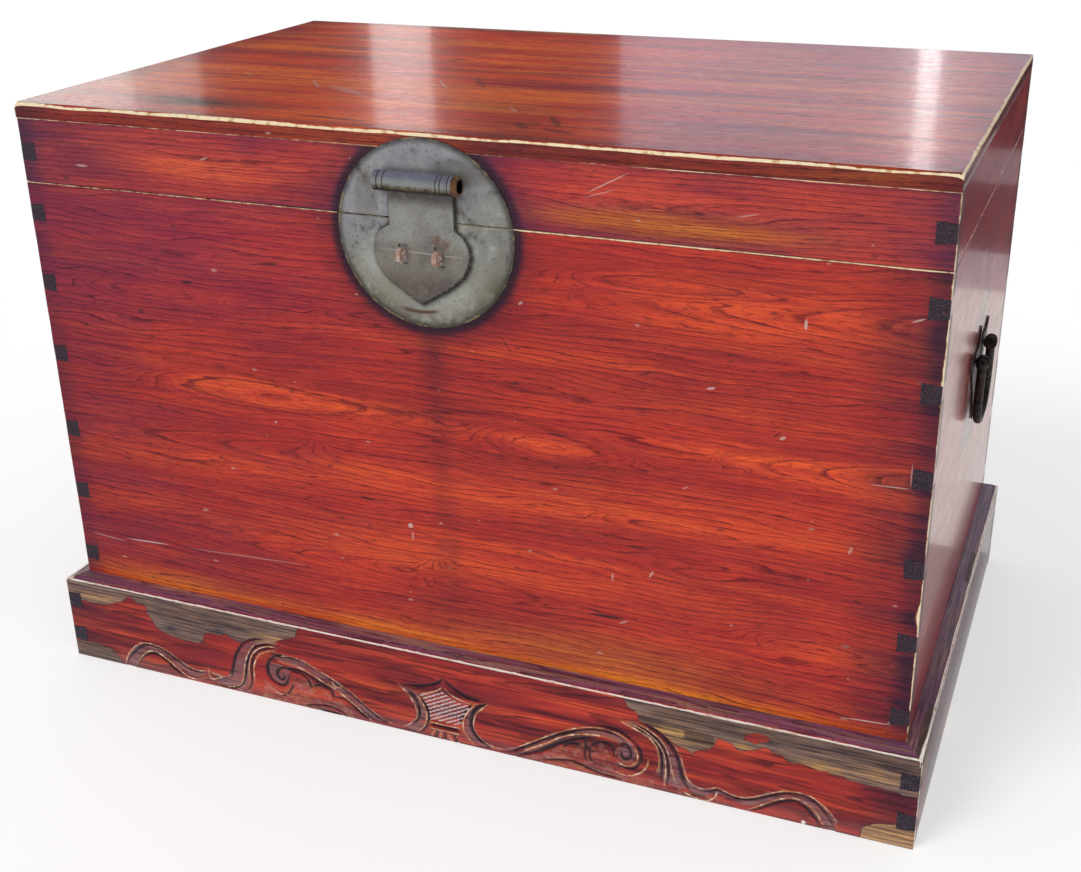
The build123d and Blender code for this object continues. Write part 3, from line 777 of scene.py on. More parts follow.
def TP(x, y, sx, sy, turn=0.0, s=0.7):
    return ((x / 1000, y / 1000, ZT / 1000), (sx / 1000, sy / 1000, 0.004), (0, 0, math.radians(turn)), s)


top_pale = [TP(-150, -150, 70, 1.1, -38, .5), TP(-95, -70, 34, 2.2, -56, .5), TP(-228, -108, 30, 2.0, -52, .55), TP(-330, -80, 14, 2, -40, .5),
            TP(60, 90, 46, 1.0, -60, .4), TP(-370, -60, 12, 2, -40, .4), TP(150, 60, 40, 0.8, -66, .35), TP(250, 130, 30, 1.2, 86, .3),
            TP(30, -170, 14, 2.6, -50, .5), TP(-180, -130, 40, 9, -30, .3), TP(-250, -24, 16, 1, -35, .5)]
top_dark = [TP(90, -210, 30, 5, -60, .5), TP(65, -235, 18, 7, -50, .5), TP(-60, -50, 40, 5, -58, .35), TP(-300, -230, 60, 8, -8, .7),
            TP(-120, -262, 60, 5, -4, .6), TP(110, -250, 26, 6, -20, .5), TP(190, 40, 16, 2, 80, .35)]
wood_top = wood_material("lacquer_top", top_pale, top_dark, fine=1.35, gloss=1.15)

# ------------------------------------------------------------------ carcase and lid boards
def wear_front(x, z):
    c = HW - np.abs(x)
    w = np.clip(1.05 - c / (1.1 + 1.9 * noise2(z / 14, z * 0, 4) + 4.5 * (blob(z, z * 0, 242, 0, 9, 1) + blob(z, z * 0, 462, 0, 14, 1))), 0, 1) * np.where(x > 0, 0.86, 0.30) * (0.5 + 0.55 * noise2(z / 30, z * 0, 9))
    top = np.clip(1.0 - (ZW1 - z) / (1.3 + 1.0 * noise2(x / 26, x * 0, 6)), 0, 1) * (0.62 + 0.38 * sstep(x, -120, 140))
    return np.maximum(w, top)


def wear_lid_front(x, z):
    c = HW - np.abs(x)
    w = np.clip(1.05 - c / (1.2 + 1.9 * noise2(z / 14, z * 0, 14)), 0, 1) * np.where(x > 0, 0.62, 0.28)
    top = np.clip(1.0 - (ZL1 - z) / 1.5, 0, 1) * (0.45 + 0.5 * noise2(x / 60, x * 0, 16))
    bot = np.clip(1.0 - (z - ZL0) / 1.0, 0, 1) * 0.35 * noise2(x / 50, x * 0, 18)
    return np.maximum(np.maximum(w, top), bot)


def lid_front_ring(x, z):
    return z / 5.0 + 0.7 * np.sin(x / 170) + 1.2 * fbm(x / 150, z / 30, 43) + 2.4 * blob(x, z, 230, 596, 130, 10) + 2.0 * blob(x, z, -230, 606, 110, 9)


def lid_front_tint(x, z):
    n = fbm(x / 130 + 2, z / 26, 45, 4)
    c = np.tile(CRIMSON, (len(x), 1)) * (0.98 + 0.25 * (n[:, None] - 0.5))
    c = paint(c, (0.85 * sstep(n, 0.30, 0.66), RED), (0.6 * blob(x, z, -280, 606, 120, 16), ORANGE), (0.5 * blob(x, z, 160, 612, 120, 18), RED * 1.15),
              (0.80 * blob(x, z, 230, 588, 95, 9), GOLD * 0.85), (0.35 * blob(x, z, 400, 590, 60, 20), RED))
    dk = 0.42 * sstep(x, -300, -475) + 0.45 * sstep(x, -440, -472) + 0.35 * sstep(x, 400, 475) + 0.35 * sstep(x, 446, 472)
    c = paint(c, (dk, PURPLE))
    d = np.hypot(x + 10, z - 558)
    c = paint(c, (0.85 * sstep(d, 106, 93) + 0.40 * sstep(d, 140, 98), PURPLE * 0.75))
    c = paint(c, (0.30 * sstep(z, 628, 640), PURPLE * 0.8), (0.18 * sstep(z, 582, 572) * sstep(x, 300, 0), PURPLE))
    cool = np.clip(1 - (c[:, 1] / np.maximum(c[:, 0], 1e-6) - 0.10) / 0.10, 0, 1)[:, None]
    return c * (1 + cool * np.array([0.0, 0.40, 1.15]))


front_wall("front_board_wood", "body_front_board", "chest", ZW0, ZW1, BODY_PINS, YF, YF + BT, wood_front, (1.6, 0.8, 0.3),
           front_ring, front_tint, wear_front, False, 3.0, front_extra)
front_wall("lid_front_wood", "lid_front_rail", "lid", ZL0, ZL1, LID_PINS, YF, YF + BT, wood_lid_front, (1.6, 0.5, 0.5),
           lid_front_ring, lid_front_tint, wear_lid_front, False, 3.3)


def back_tint(x, z):
    n = fbm(x / 150 + 31, z / 32, 55, 4)
    n2 = fbm(x / 420 + 5, z / 15 + 4, 58, 3)
    c = np.tile(lerp(CRIMSON, RED, 0.4), (len(x), 1)) * (1.0 + 0.15 * (n[:, None] - 0.5))
    return paint(c, (0.4 * sstep(n, 0.35, 0.7), RED), (0.35 * sstep(n2, 0.5, 0.8), ORANGE * 0.9), (0.5 * sstep(np.abs(x), 400, 475), PURPLE), (0.3 * sstep(z, 130, 95), PURPLE))


def back_ring(x, z):
    f = z / 5.4 + 0.9 * np.sin(x / 190 + 1) + 1.4 * fbm(x / 150, z / 34, 61) + 4.4 * blob(x, z, 160, 420, 140, 10)
    return f + np.clip((-x - 60) / 70, 0, 6) * 1.3 * np.exp(-((z - 240) / 18) ** 2)


def wear_back(x, z):
    return np.clip(1.0 - (HW - np.abs(x)) / (1.5 + 2.4 * noise2(z / 16, z * 0, 64)), 0, 1) * 0.75


front_wall("back_board_wood", "body_back_board", "chest", ZW0, ZW1, BODY_PINS, YB, YB - BT, wood_plain, (1.4, 0.7, 0.3),
           back_ring, back_tint, wear_back, True)
front_wall("lid_back_wood", "lid_back_rail", "lid", ZL0, ZL1, LID_PINS, YB, YB - BT, wood_plain, (1.4, 0.5, 0.5),
           lambda x, z: back_ring(x, z + 37), back_tint, wear_back, True)


def side_ring(y, z):
    f = z / 5.6 + 0.8 * np.sin(y / 150 + 2) + 1.5 * fbm(y / 140, z / 36, 71)
    f += 4.2 * blob(y, z, -60, 300, 120, 10) + np.clip((y + 100) / 70, 0, 5) * 1.2 * np.exp(-((z - 470) / 18) ** 2)
    return f


def side_tint(y, z):
    n = fbm(y / 130 + 5, z / 30, 75, 4)
    c = np.tile(lerp(CRIMSON, RED, 0.4), (len(y), 1)) * (1.0 + 0.15 * (n[:, None] - 0.5))
    c = paint(c, (0.45 * sstep(n, 0.32, 0.68), RED), (0.35 * sstep(fbm(y / 300, z / 20, 77), 0.5, 0.8), ORANGE * 0.9))
    dk = 0.5 * sstep(y, -250, -290) + 0.5 * sstep(y, 260, 305) + 0.4 * sstep(z, 130, 92)
    d = np.hypot(y - 7, (z - 375) * 0.9)
    return paint(c, (dk, PURPLE), (0.6 * sstep(d, 110, 60), PURPLE * 0.7))


def wear_side(y, z):
    e = np.minimum(y - YF, YB - y)
    w = np.clip(1.05 - e / (1.2 + 2.2 * noise2(z / 13, z * 0, 79)), 0, 1) * (0.45 + 0.5 * noise2(z / 30, z * 0, 80))
    top = np.clip(1.0 - (ZW1 - z) / 1.1, 0, 1) * 0.6
    return np.maximum(w, np.where(z > 560, top, 0) * (z < ZW1 + 0.5))


for side, nm in ((1, "right"), (-1, "left")):
    end_wall(f"{nm}_board_wood", f"body_{nm}_board", "chest", ZW0, ZW1, BODY_PINS, side, wood_side, (1.6, 0.7, 0.3),
             (lambda y, z, s=side: side_ring(y * s, z)), side_tint, wear_side)
    end_wall(f"lid_{nm}_wood", f"lid_{nm}_rail", "lid", ZL0, ZL1, LID_PINS, side, wood_side, (1.6, 0.5, 0.5),
             (lambda y, z, s=side: side_ring(y * s + 60, z - 90)), side_tint,
             lambda y, z: np.clip(1.0 - np.minimum(y - YF, YB - y) / 3.0, 0, 1) * 0.6)


# lid top: the front arris is worn round and pale, the others less
def top_ring(x, y):
    f = y / 6.5 + 0.9 * np.sin(x / 200) + 1.6 * fbm(x / 170, y / 40, 83) + 4.5 * blob(x, y, -60, 60, 160, 14) + 4.0 * blob(x, y, 260, -120, 130, 12)
    return f + np.clip((-x - 100) / 80, 0, 5) * 1.3 * np.exp(-((y + 130) / 24) ** 2)


def top_tint(x, y):
    n = fbm(x / 150 + 15, y / 40, 85, 4)
    n2 = fbm(x / 400 + 3, y / 22, 88, 3)
    c = np.tile(lerp(CRIMSON, RED, 0.8), (len(x), 1)) * (1.25 + 0.3 * (n[:, None] - 0.5))
    c = paint(c, (0.8 * sstep(n, 0.28, 0.62), lerp(RED, ORANGE, 0.6) * 1.15), (0.8 * sstep(n2, 0.36, 0.66), lerp(ORANGE, GOLD, 0.35) * 1.05),
              (0.45 * sstep(fbm(x / 300, y / 12, 87, 3), 0.52, 0.75), PURPLE * 1.3), (0.35 * blob(x, y, -90, 130, 90, 160), ORANGE),
              (0.5 * blob(x, y, -230, -170, 120, 50), ORANGE * 0.8), (0.5 * blob(x, y, 10, -160, 60, 30), GOLD * 0.8))
    dk = 0.8 * blob(x, y, -300, -240, 80, 22) + 0.45 * blob(x, y, 60, -240, 60, 60) + 0.4 * sstep(y, -262, -284) + 0.35 * sstep(x, -400, -475)
    dk = dk + 0.30 * sstep(y, 270, 305) + 0.3 * sstep(x, 430, 475)
    c = c * (1.0 + 0.34 * sstep(x, 230, 60))[:, None] * np.array([1.0, 1.08, 0.96])
    return paint(c, (dk * (0.6 + 0.8 * n), PURPLE * 0.8), (0.9 * sstep(y, 284, 300) * sstep(x, -310, -285) * sstep(x, -45, -60), TAN * 1.1))


def top_place(layer, u, v):
    if layer:
        d = np.maximum.reduce([round_depth(HW - np.abs(u), 0.6), round_depth(v - YF, 0.6), round_depth(YB - v, 0.6)])
        return np.stack([u, v, ZL1 + d], 1)
    d = round_depth(v - YF, 2.3 * (0.6 + 0.8 * fbm(u / 45, u * 0, 91, 2)))
    d = np.maximum(d, round_depth(HW - np.abs(u), 1.8 * (0.6 + 0.8 * noise2(v / 30, v * 0, 92))))
    d = np.maximum(d, round_depth(YB - v, 2.2))
    corner = 7.0 - np.hypot(np.maximum(7.0 - (HW - np.abs(u)), 0), np.maximum(7.0 - (v - YF), 0))
    d = d + np.clip(1.2 - corner, 0, 6) * 0.8
    d = np.maximum(d + 0.30 * (fbm(u / 150, v / 110, 93, 2) - 0.5) + 0.15, 0)
    return np.stack([u, v, ZT - d], 1)


def top_layout(co, layer, u, v):
    x, y = co[:, 0], co[:, 1]
    outer = layer < 0.5
    fw = 0.5 + 1.7 * fbm(u / 34, u * 0, 95, 3) + 3.5 * sstep(u, -400, -475) + 2.5 * blob(u, u * 0, -250, 0, 70, 1)
    w = np.clip(1.05 - (v - YF) / fw, 0, 1) * (0.72 + 0.3 * noise2(u / 17, u * 0, 97))
    w = np.maximum(w, np.clip(1.05 - (HW - np.abs(u)) / (2.2 + 3.0 * fbm(v / 20, v * 0, 96, 2)), 0, 1) * np.where(u > 0, 0.95, 0.6))
    w = np.maximum(w, np.clip(1.0 - (YB - v) / 2.5, 0, 1) * 0.6) * (layer < 0.01)
    vw = v - np.where(outer & (layer < 0.01), 0.0, ZT - co[:, 2])
    return base_attrs(co, layer, u, vw, co[:, 2], top_ring(u, vw), top_tint(u, np.maximum(vw, YF + 3)) * np.where(layer < 0.01, 1.0, 0.55)[:, None], w, (layer > 0.99) & (np.minimum.reduce([HW - np.abs(u), v - YF, YB - v]) > 2), 0)


U = spread(-HW, HW, 6.5)
V = spread(YF, YB, 6.5, fine=(0.0, 0.25, 0.7, 1.4, 2.3, 3.5, 5.2, 8.0, 12.0))
board("lid_top_wood", "lid", ["lid_top_board"], U, V, np.ones((len(U) - 1, len(V) - 1), bool), top_place, top_layout, wood_top)

# ------------------------------------------------------------------ plinth
LEDGE = 21.0


def rail_v(step, lo=0.0):
    v = list(spread(lo, PH, step, extra=pin_lines(BASE_PINS) + [MIT, MIT + 0.3], fine=(0.0, 0.3, 0.8, 1.5, 2.4, 3.6, 5.2)))
    return np.array(v + [PH + f for f in (0.4, 1.0, 2.0, 3.4, 5.4, 8.5, 12.5, 16.5, 19.5, LEDGE)])


def rail_point(u, v, r, dip):
    """Distance in from the outer face, and height, along the face and over the ledge."""
    t = np.clip((v - PH) / LEDGE, 0, 1)
    rb = 1.4
    d = round_depth(PH - v, r)
    d = np.maximum(d, round_depth(v, rb))
    d = np.where(v > PH, lerp(r * 0.97, LEDGE, t), np.maximum(d, dip))
    z = np.where(v > PH, PH + (PHI - PH) * np.clip(d / LEDGE, 0, 1) - 0.5 * r * sstep(d, 4 * r, r), v)
    z = np.where(v > PH, z, np.minimum(z, PH - 0.0 - 0.5 * r * sstep(v, PH - r, PH)))
    return d, z, t


def inside(px, pz, poly):
    poly = np.asarray(poly, float)
    x, z = poly[:, 0], poly[:, 1]
    hit = np.zeros(len(px), bool)
    j = len(poly) - 1
    for i in range(len(poly)):
        cross = ((z[i] > pz) != (z[j] > pz)) & (px < (x[j] - x[i]) * (pz - z[i]) / (z[j] - z[i] + 1e-12) + x[i])
        hit ^= cross
        j = i
    return hit


# The carving: pale ridges, dark cuts, sunk bands, on the face of the front rail (x, z).
RIDGES = [
    [(-424, 0), (-421, 10), (-416, 19), (-409, 27), (-400, 35), (-390, 38.5), (-380, 38), (-372, 37), (-362, 34), (-352, 29), (-343, 23), (-335, 18), (-325, 15.5), (-316, 16), (-309, 19), (-306, 21)],
    [(-304, 20), (-298, 17), (-290, 16), (-284, 15), (-279, 17), (-275, 22)],
    [(-410, 0), (-405, 9), (-399, 17), (-392, 24), (-385, 28), (-377, 29), (-369, 26), (-360, 20), (-350, 13), (-340, 6), (-330, 3), (-322, 5), (-312, 8)],
    [(-306, 24), (-305, 10), (-300, 9), (-293, 12), (-288, 14)],
    [(-290, 2), (-275, 3), (-266, 8), (-261, 14), (-259, 22), (-257, 32), (-255, 42), (-251, 52), (-245, 62), (-240, 68), (-232, 72), (-222, 75), (-210, 76)],
    [(-250, 18), (-251, 30), (-249, 42), (-246, 52), (-240, 60), (-232, 66), (-222, 70), (-212, 71)],
    [(-243, 20), (-244, 30), (-243, 40), (-240, 48), (-235, 56), (-225, 63), (-212, 67)],
    [(-218, 56), (-208, 60), (-200, 62), (-190, 63), (-180, 62), (-170, 59), (-160, 54), (-148, 49), (-138, 44), (-128, 39), (-115, 31), (-104, 23), (-94, 16), (-84, 10), (-76, 7), (-68, 5.5)],
    [(-205, 52), (-195, 53), (-185, 52), (-175, 49), (-165, 45), (-155, 40), (-145, 36), (-138, 33), (-128, 27), (-118, 20), (-108, 12), (-100, 6), (-92, 1)],
    [(-144, 45), (-139, 34), (-130, 38)],
    [(-226, 20), (-218, 13), (-208, 10), (-200, 12)],
    [(-5, 70), (-2, 65), (4, 60), (12, 56.5), (20, 55), (30, 55), (37, 56)],
    [(-6, 68), (-12, 62), (-22, 57), (-34, 52)],
    [(-59, 59), (-50, 51), (-43, 42), (-39, 33), (-38, 24), (-41, 16), (-48, 10), (-56, 6)],
    [(-40, 54), (-33, 45), (-28, 36), (-26, 26), (-29, 14), (-35, 6), (-42, 0)],
    [(49, 60), (40, 52), (32, 43), (29, 33), (28, 25), (31, 17), (38, 11), (46, 7), (56, 5), (66, 7)],
    [(32, 54), (24, 46), (18, 35), (16, 25), (18, 16), (23, 9), (32, 2)],
    [(-25, 12), (-10, 11.5), (14, 12)], [(-25, 20), (-8, 19.5), (14, 20)],
    [(-18, 10), (-22, 2)], [(-10, 10), (-12, 1)], [(-2, 10), (1, 2), (5, -2)],
    [(56, 6), (66, 7), (76, 11), (86, 17), (96, 24), (106, 30), (116, 37), (128, 45), (140, 51), (152, 56), (164, 59.5), (176, 61), (188, 60), (198, 56), (206, 50), (212, 43), (214, 34), (211, 27), (205, 22), (198, 21), (192, 24), (189, 30), (190, 37), (193, 42)],
    [(84, 8), (94, 15), (104, 21), (114, 27), (124, 35), (134, 41), (146, 46), (158, 49), (170, 51), (182, 51), (192, 48), (200, 44)],
    [(185, 15), (192, 10), (202, 9), (212, 13), (220, 20), (225, 30), (224, 38)],
    [(233, 20), (236, 28), (236, 38), (235, 48), (231, 56), (224, 62), (214, 67), (204, 71), (196, 74), (193, 78)],
    [(242, 5), (243, 20), (243, 35), (241, 46), (236, 55), (228, 63), (218, 69), (208, 73), (200, 75)],
    [(258, 8), (252, 18), (249, 30), (247, 42), (243, 54), (236, 63), (227, 70), (216, 75), (205, 78)],
    [(250, 63), (256, 54), (260, 44), (263, 32), (266, 22), (272, 16), (280, 13.5), (288, 16), (296, 20), (298, 21), (304, 18), (312, 15), (322, 14.5), (332, 17), (344, 24), (356, 31), (368, 35.5), (380, 37), (391, 36), (400, 31), (408, 25), (415, 18), (419, 10), (421, 0)],
    [(262, 6), (270, 3), (280, 1), (290, 2), (296, 8), (298, 17)],
    [(330, 3), (338, 8), (348, 15), (358, 22), (368, 27), (378, 29), (387, 26), (395, 21), (401, 13), (406, 5), (409, 0)],
]
CUTS = [
    ([(-422, 0), (-418, 10), (-412, 18), (-405, 25.5), (-397, 32), (-388, 35.5), (-380, 35.3), (-372, 34.2), (-362, 31), (-353, 26), (-344, 20), (-336, 15.5), (-325, 13), (-315, 13.5), (-308, 16)], 1.6),
    ([(-410, -2), (-400, 15), (-392, 22), (-384, 25.5), (-376, 25.5), (-368, 22), (-358, 15), (-348, 8), (-338, 2)], 2.0),
    ([(-287, 15), (-281, 15), (-276, 20), (-273, 28), (-270, 38), (-267, 48), (-262, 57), (-257, 64), (-251, 70), (-243, 74.5), (-232, 77), (-222, 77.5)], 2.2),
    ([(-300, 4), (-285, 2), (-276, 3), (-268, 6), (-261, 12), (-257, 20), (-255, 33), (-252, 45), (-248, 54), (-243, 62), (-236, 68), (-226, 71), (-214, 73), (-207, 74)], 1.9),
    ([(-262, 3), (-255, 5), (-251, 10), (-248, 16), (-247, 28), (-247, 38), (-244, 48), (-240, 56), (-233, 63), (-224, 67.5), (-212, 70)], 1.6),
    ([(-170, 58), (-190, 61), (-210, 62), (-218, 56), (-224, 49), (-226, 40), (-224, 31), (-219, 25), (-211, 22), (-204, 23), (-199, 31), (-198, 38), (-195, 43)], 2.2),
    ([(-203, 47), (-210, 43.5), (-214, 38), (-213, 32), (-209, 29), (-205, 30), (-204, 34), (-206, 37)], 2.0),
    ([(-213, 44), (-200, 46), (-190, 48), (-180, 47), (-170, 43), (-158, 37), (-148, 34), (-142, 29), (-139, 22)], 2.0),
    ([(-118, 18), (-108, 10), (-98, 4)], 1.8),
    ([(-160, 51), (-148, 46), (-138, 41), (-128, 36), (-115, 28), (-104, 20), (-94, 13), (-84, 7), (-74, 4)], 1.5),
    ([(-197, 42), (-192, 44), (-185, 44), (-177, 42), (-172, 37), (-170, 30), (-172, 26)], 1.7),
    ([(-168, 31), (-160, 34), (-152, 34), (-146, 31), (-142, 25), (-141, 19)], 1.7),
    ([(-142, 23), (-130, 24), (-122, 20), (-112, 13), (-102, 5)], 1.5),
    ([(-210, 8), (-202, 12), (-196, 20), (-192, 28)], 1.5),
    ([(-180, 3), (-165, 7), (-150, 9), (-140, 8), (-130, 4), (-124, 0)], 1.3),
    ([(-165, 0), (-150, 2), (-138, 2), (-130, 0)], 1.1),
    ([(-59, 59), (-50, 60), (-40, 61), (-30, 63.5), (-20, 67), (-12, 71), (-7, 76), (-4, 79)], 2.4),
    ([(-4, 78), (0, 73), (8, 68), (16, 64), (24, 61), (32, 60), (40, 60)], 2.4),
    ([(-50, 56), (-41, 46), (-36, 36), (-36, 24), (-39, 17), (-47, 10)], 1.9),
    ([(-36, 50), (-28, 41), (-24, 30), (-25, 18), (-30, 9), (-38, 1)], 1.7),
    ([(47, 58), (36, 53), (29, 46), (26, 37), (25, 27), (28, 17), (36, 9), (46, 4)], 2.6),
    ([(28, 54), (20, 44), (14, 33), (12, 24)], 1.5),
    ([(-25, 16), (14, 16)], 2.2),
    ([(-14, 10), (-17, 1)], 1.5), ([(-6, 10), (-6, 0)], 1.5), ([(4, 10), (8, 2), (12, -2)], 1.5),
    ([(60, 3), (70, 4.5), (80, 10), (90, 16), (100, 23), (110, 30), (120, 36), (130, 42), (142, 48), (154, 53), (166, 56.5), (178, 57.5), (190, 55.5), (198, 51), (203, 46)], 1.5),
    ([(192, 47), (200, 46), (205, 41), (206, 34), (203, 29), (198, 28), (195, 31), (195, 36), (197, 38)], 2.0),
    ([(76, 0), (84, 5), (96, 10), (106, 17), (116, 24), (126, 31), (138, 37), (150, 42), (158, 45), (168, 48)], 2.0),
    ([(170, 64), (184, 64), (196, 61), (206, 55), (214, 48), (218, 38), (216, 28), (210, 20), (202, 17.5), (193, 19)], 1.8),
    ([(100, 10), (110, 17), (120, 24), (132, 33), (144, 35), (154, 36)], 1.8),
    ([(131, 25), (134, 30), (142, 34), (152, 34)], 1.4),
    ([(162, 34), (166, 40), (174, 44), (182, 44), (187, 40), (188, 32)], 1.7),
    ([(155, 46), (157, 36), (155, 26), (157, 16)], 1.6), ([(157, 36), (162, 30), (160, 20), (166, 18)], 1.4),
    ([(100, 2), (115, 6), (130, 10), (142, 12), (152, 10), (165, 5), (180, 3), (200, 4)], 1.4),
    ([(238, 10), (239, 22), (239, 34), (238, 45), (234, 54), (227, 61), (217, 67), (206, 72)], 1.6),
    ([(245, 8), (246, 24), (245, 38), (242, 49), (236, 59), (227, 67), (216, 72), (205, 76)], 1.6),
    ([(268, 10), (262, 18), (259, 28), (257, 40), (253, 51), (246, 61), (237, 69), (225, 75), (212, 78)], 2.8),
    ([(272, 12.5), (280, 10), (290, 12.5), (298, 17.5), (306, 14), (314, 11.5), (324, 11.5), (334, 14.5), (346, 21), (358, 28), (369, 32.5), (380, 34), (389, 32.5), (397, 28), (404, 22), (410, 15), (415, 7), (418, -2)], 1.6),
    ([(332, 2), (342, 7), (352, 15), (362, 21), (372, 25), (380, 25), (388, 21), (395, 14), (401, 6), (404, 0)], 2.0),
]
BANDS = [
    [(-424, -2), (-416, 19), (-400, 35), (-380, 38), (-362, 34), (-343, 23), (-325, 15.5), (-309, 19), (-312, 8), (-330, 3), (-350, 13), (-369, 26), (-377, 29), (-392, 24), (-405, 9), (-410, -2)],
    [(-290, 2), (-304, 18), (-284, 15), (-275, 22), (-270, 38), (-262, 57), (-243, 74.5), (-222, 77), (-208, 75), (-232, 65), (-246, 52), (-250, 30), (-250, 14), (-262, 3)],
    [(-218, 56), (-200, 62), (-180, 62), (-160, 54), (-138, 44), (-115, 31), (-94, 16), (-76, 7), (-68, 5), (-92, 1), (-108, 12), (-128, 27), (-155, 40), (-175, 49), (-195, 53), (-205, 52)],
    [(-224, 49), (-226, 38), (-219, 25), (-206, 22), (-198, 34), (-196, 44), (-206, 50)],
    [(-59, 59), (-43, 42), (-38, 24), (-48, 10), (-60, 5), (-42, -2), (-29, 14), (-26, 26), (-33, 45), (-40, 56)],
    [(49, 60), (32, 43), (28, 25), (38, 11), (58, 4), (34, -2), (18, 16), (16, 25), (24, 46), (34, 56)],
    [(56, 5), (76, 11), (96, 24), (128, 45), (152, 56), (176, 61), (198, 56), (212, 43), (211, 27), (198, 21), (189, 30), (193, 42), (200, 44), (182, 51), (158, 49), (134, 41), (114, 27), (84, 8)],
    [(233, 20), (236, 48), (224, 62), (196, 74), (205, 79), (236, 66), (252, 50), (262, 26), (272, 12), (262, 6), (246, 6)],
    [(266, 22), (280, 13.5), (296, 20), (322, 14.5), (344, 24), (368, 35.5), (391, 36), (408, 25), (421, -2), (409, -2), (401, 13), (387, 26), (368, 27), (348, 15), (330, 3), (312, 7), (298, 12), (280, 1), (266, 6)],
]
FIELD = [(-36, 51), (-7, 64), (-3, 61), (2, 57), (12, 53), (30, 52), (22, 42), (16, 30), (15, 22), (-24, 21), (-26, 34), (-30, 44)]
RUBBED = [[(-238, 4), (-232, 30), (-206, 18), (-196, 40), (-178, 46), (-158, 38), (-135, 25), (-112, 8), (-112, -4), (-236, -4)],
          [(60, 0), (100, 12), (122, 28), (146, 40), (176, 46), (192, 26), (206, 18), (232, 14), (238, -4), (60, -4)],
          [(-300, -4), (-298, 12), (-262, 12), (-250, 22), (-246, -4)], [(250, -4), (256, 10), (300, 10), (330, 2), (330, -4)]]
BARE_L = [(-499, 80), (-470, 78), (-445, 77), (-430, 82), (-415, 88), (-405, 98), (-395, 92), (-383, 88), (-380, 75), (-372, 62), (-365, 58), (-340, 54), (-320, 52), (-312, 55), (-308, 62), (-306, 68), (-298, 71), (-270, 72), (-262, 68), (-250, 70), (-235, 73), (-215, 76), (-210, 80), (-195, 86), (-185, 92), (-180, 103), (-180, 112), (-499, 112)]
BARE_R = [(195, 112), (195, 103), (203, 92), (212, 88), (215, 80), (222, 76), (240, 68), (252, 60), (262, 58), (270, 56), (280, 60), (290, 68), (297, 78), (310, 76), (318, 72), (330, 74), (345, 80), (358, 76), (366, 70), (380, 72), (395, 68), (420, 66), (440, 64), (470, 62), (499, 60), (499, 112)]
BARE_LB = [(-499, -2), (-499, 20), (-470, 22), (-445, 18), (-430, 8), (-428, -2)]
BARE_RB = [(440, -2), (445, 15), (455, 20), (465, 24), (478, 26), (499, 24), (499, -2)]
ISLAND = [(322, 84), (334, 83), (347, 86), (349, 92), (338, 95), (324, 92)]


def wobble(x, z, amp, size, seed):
    return x + amp * (fbm(x / size, z / size, seed, 3) - 0.5) * 2, z + amp * (fbm(x / size + 40, z / size, seed + 1, 3) - 0.5) * 2


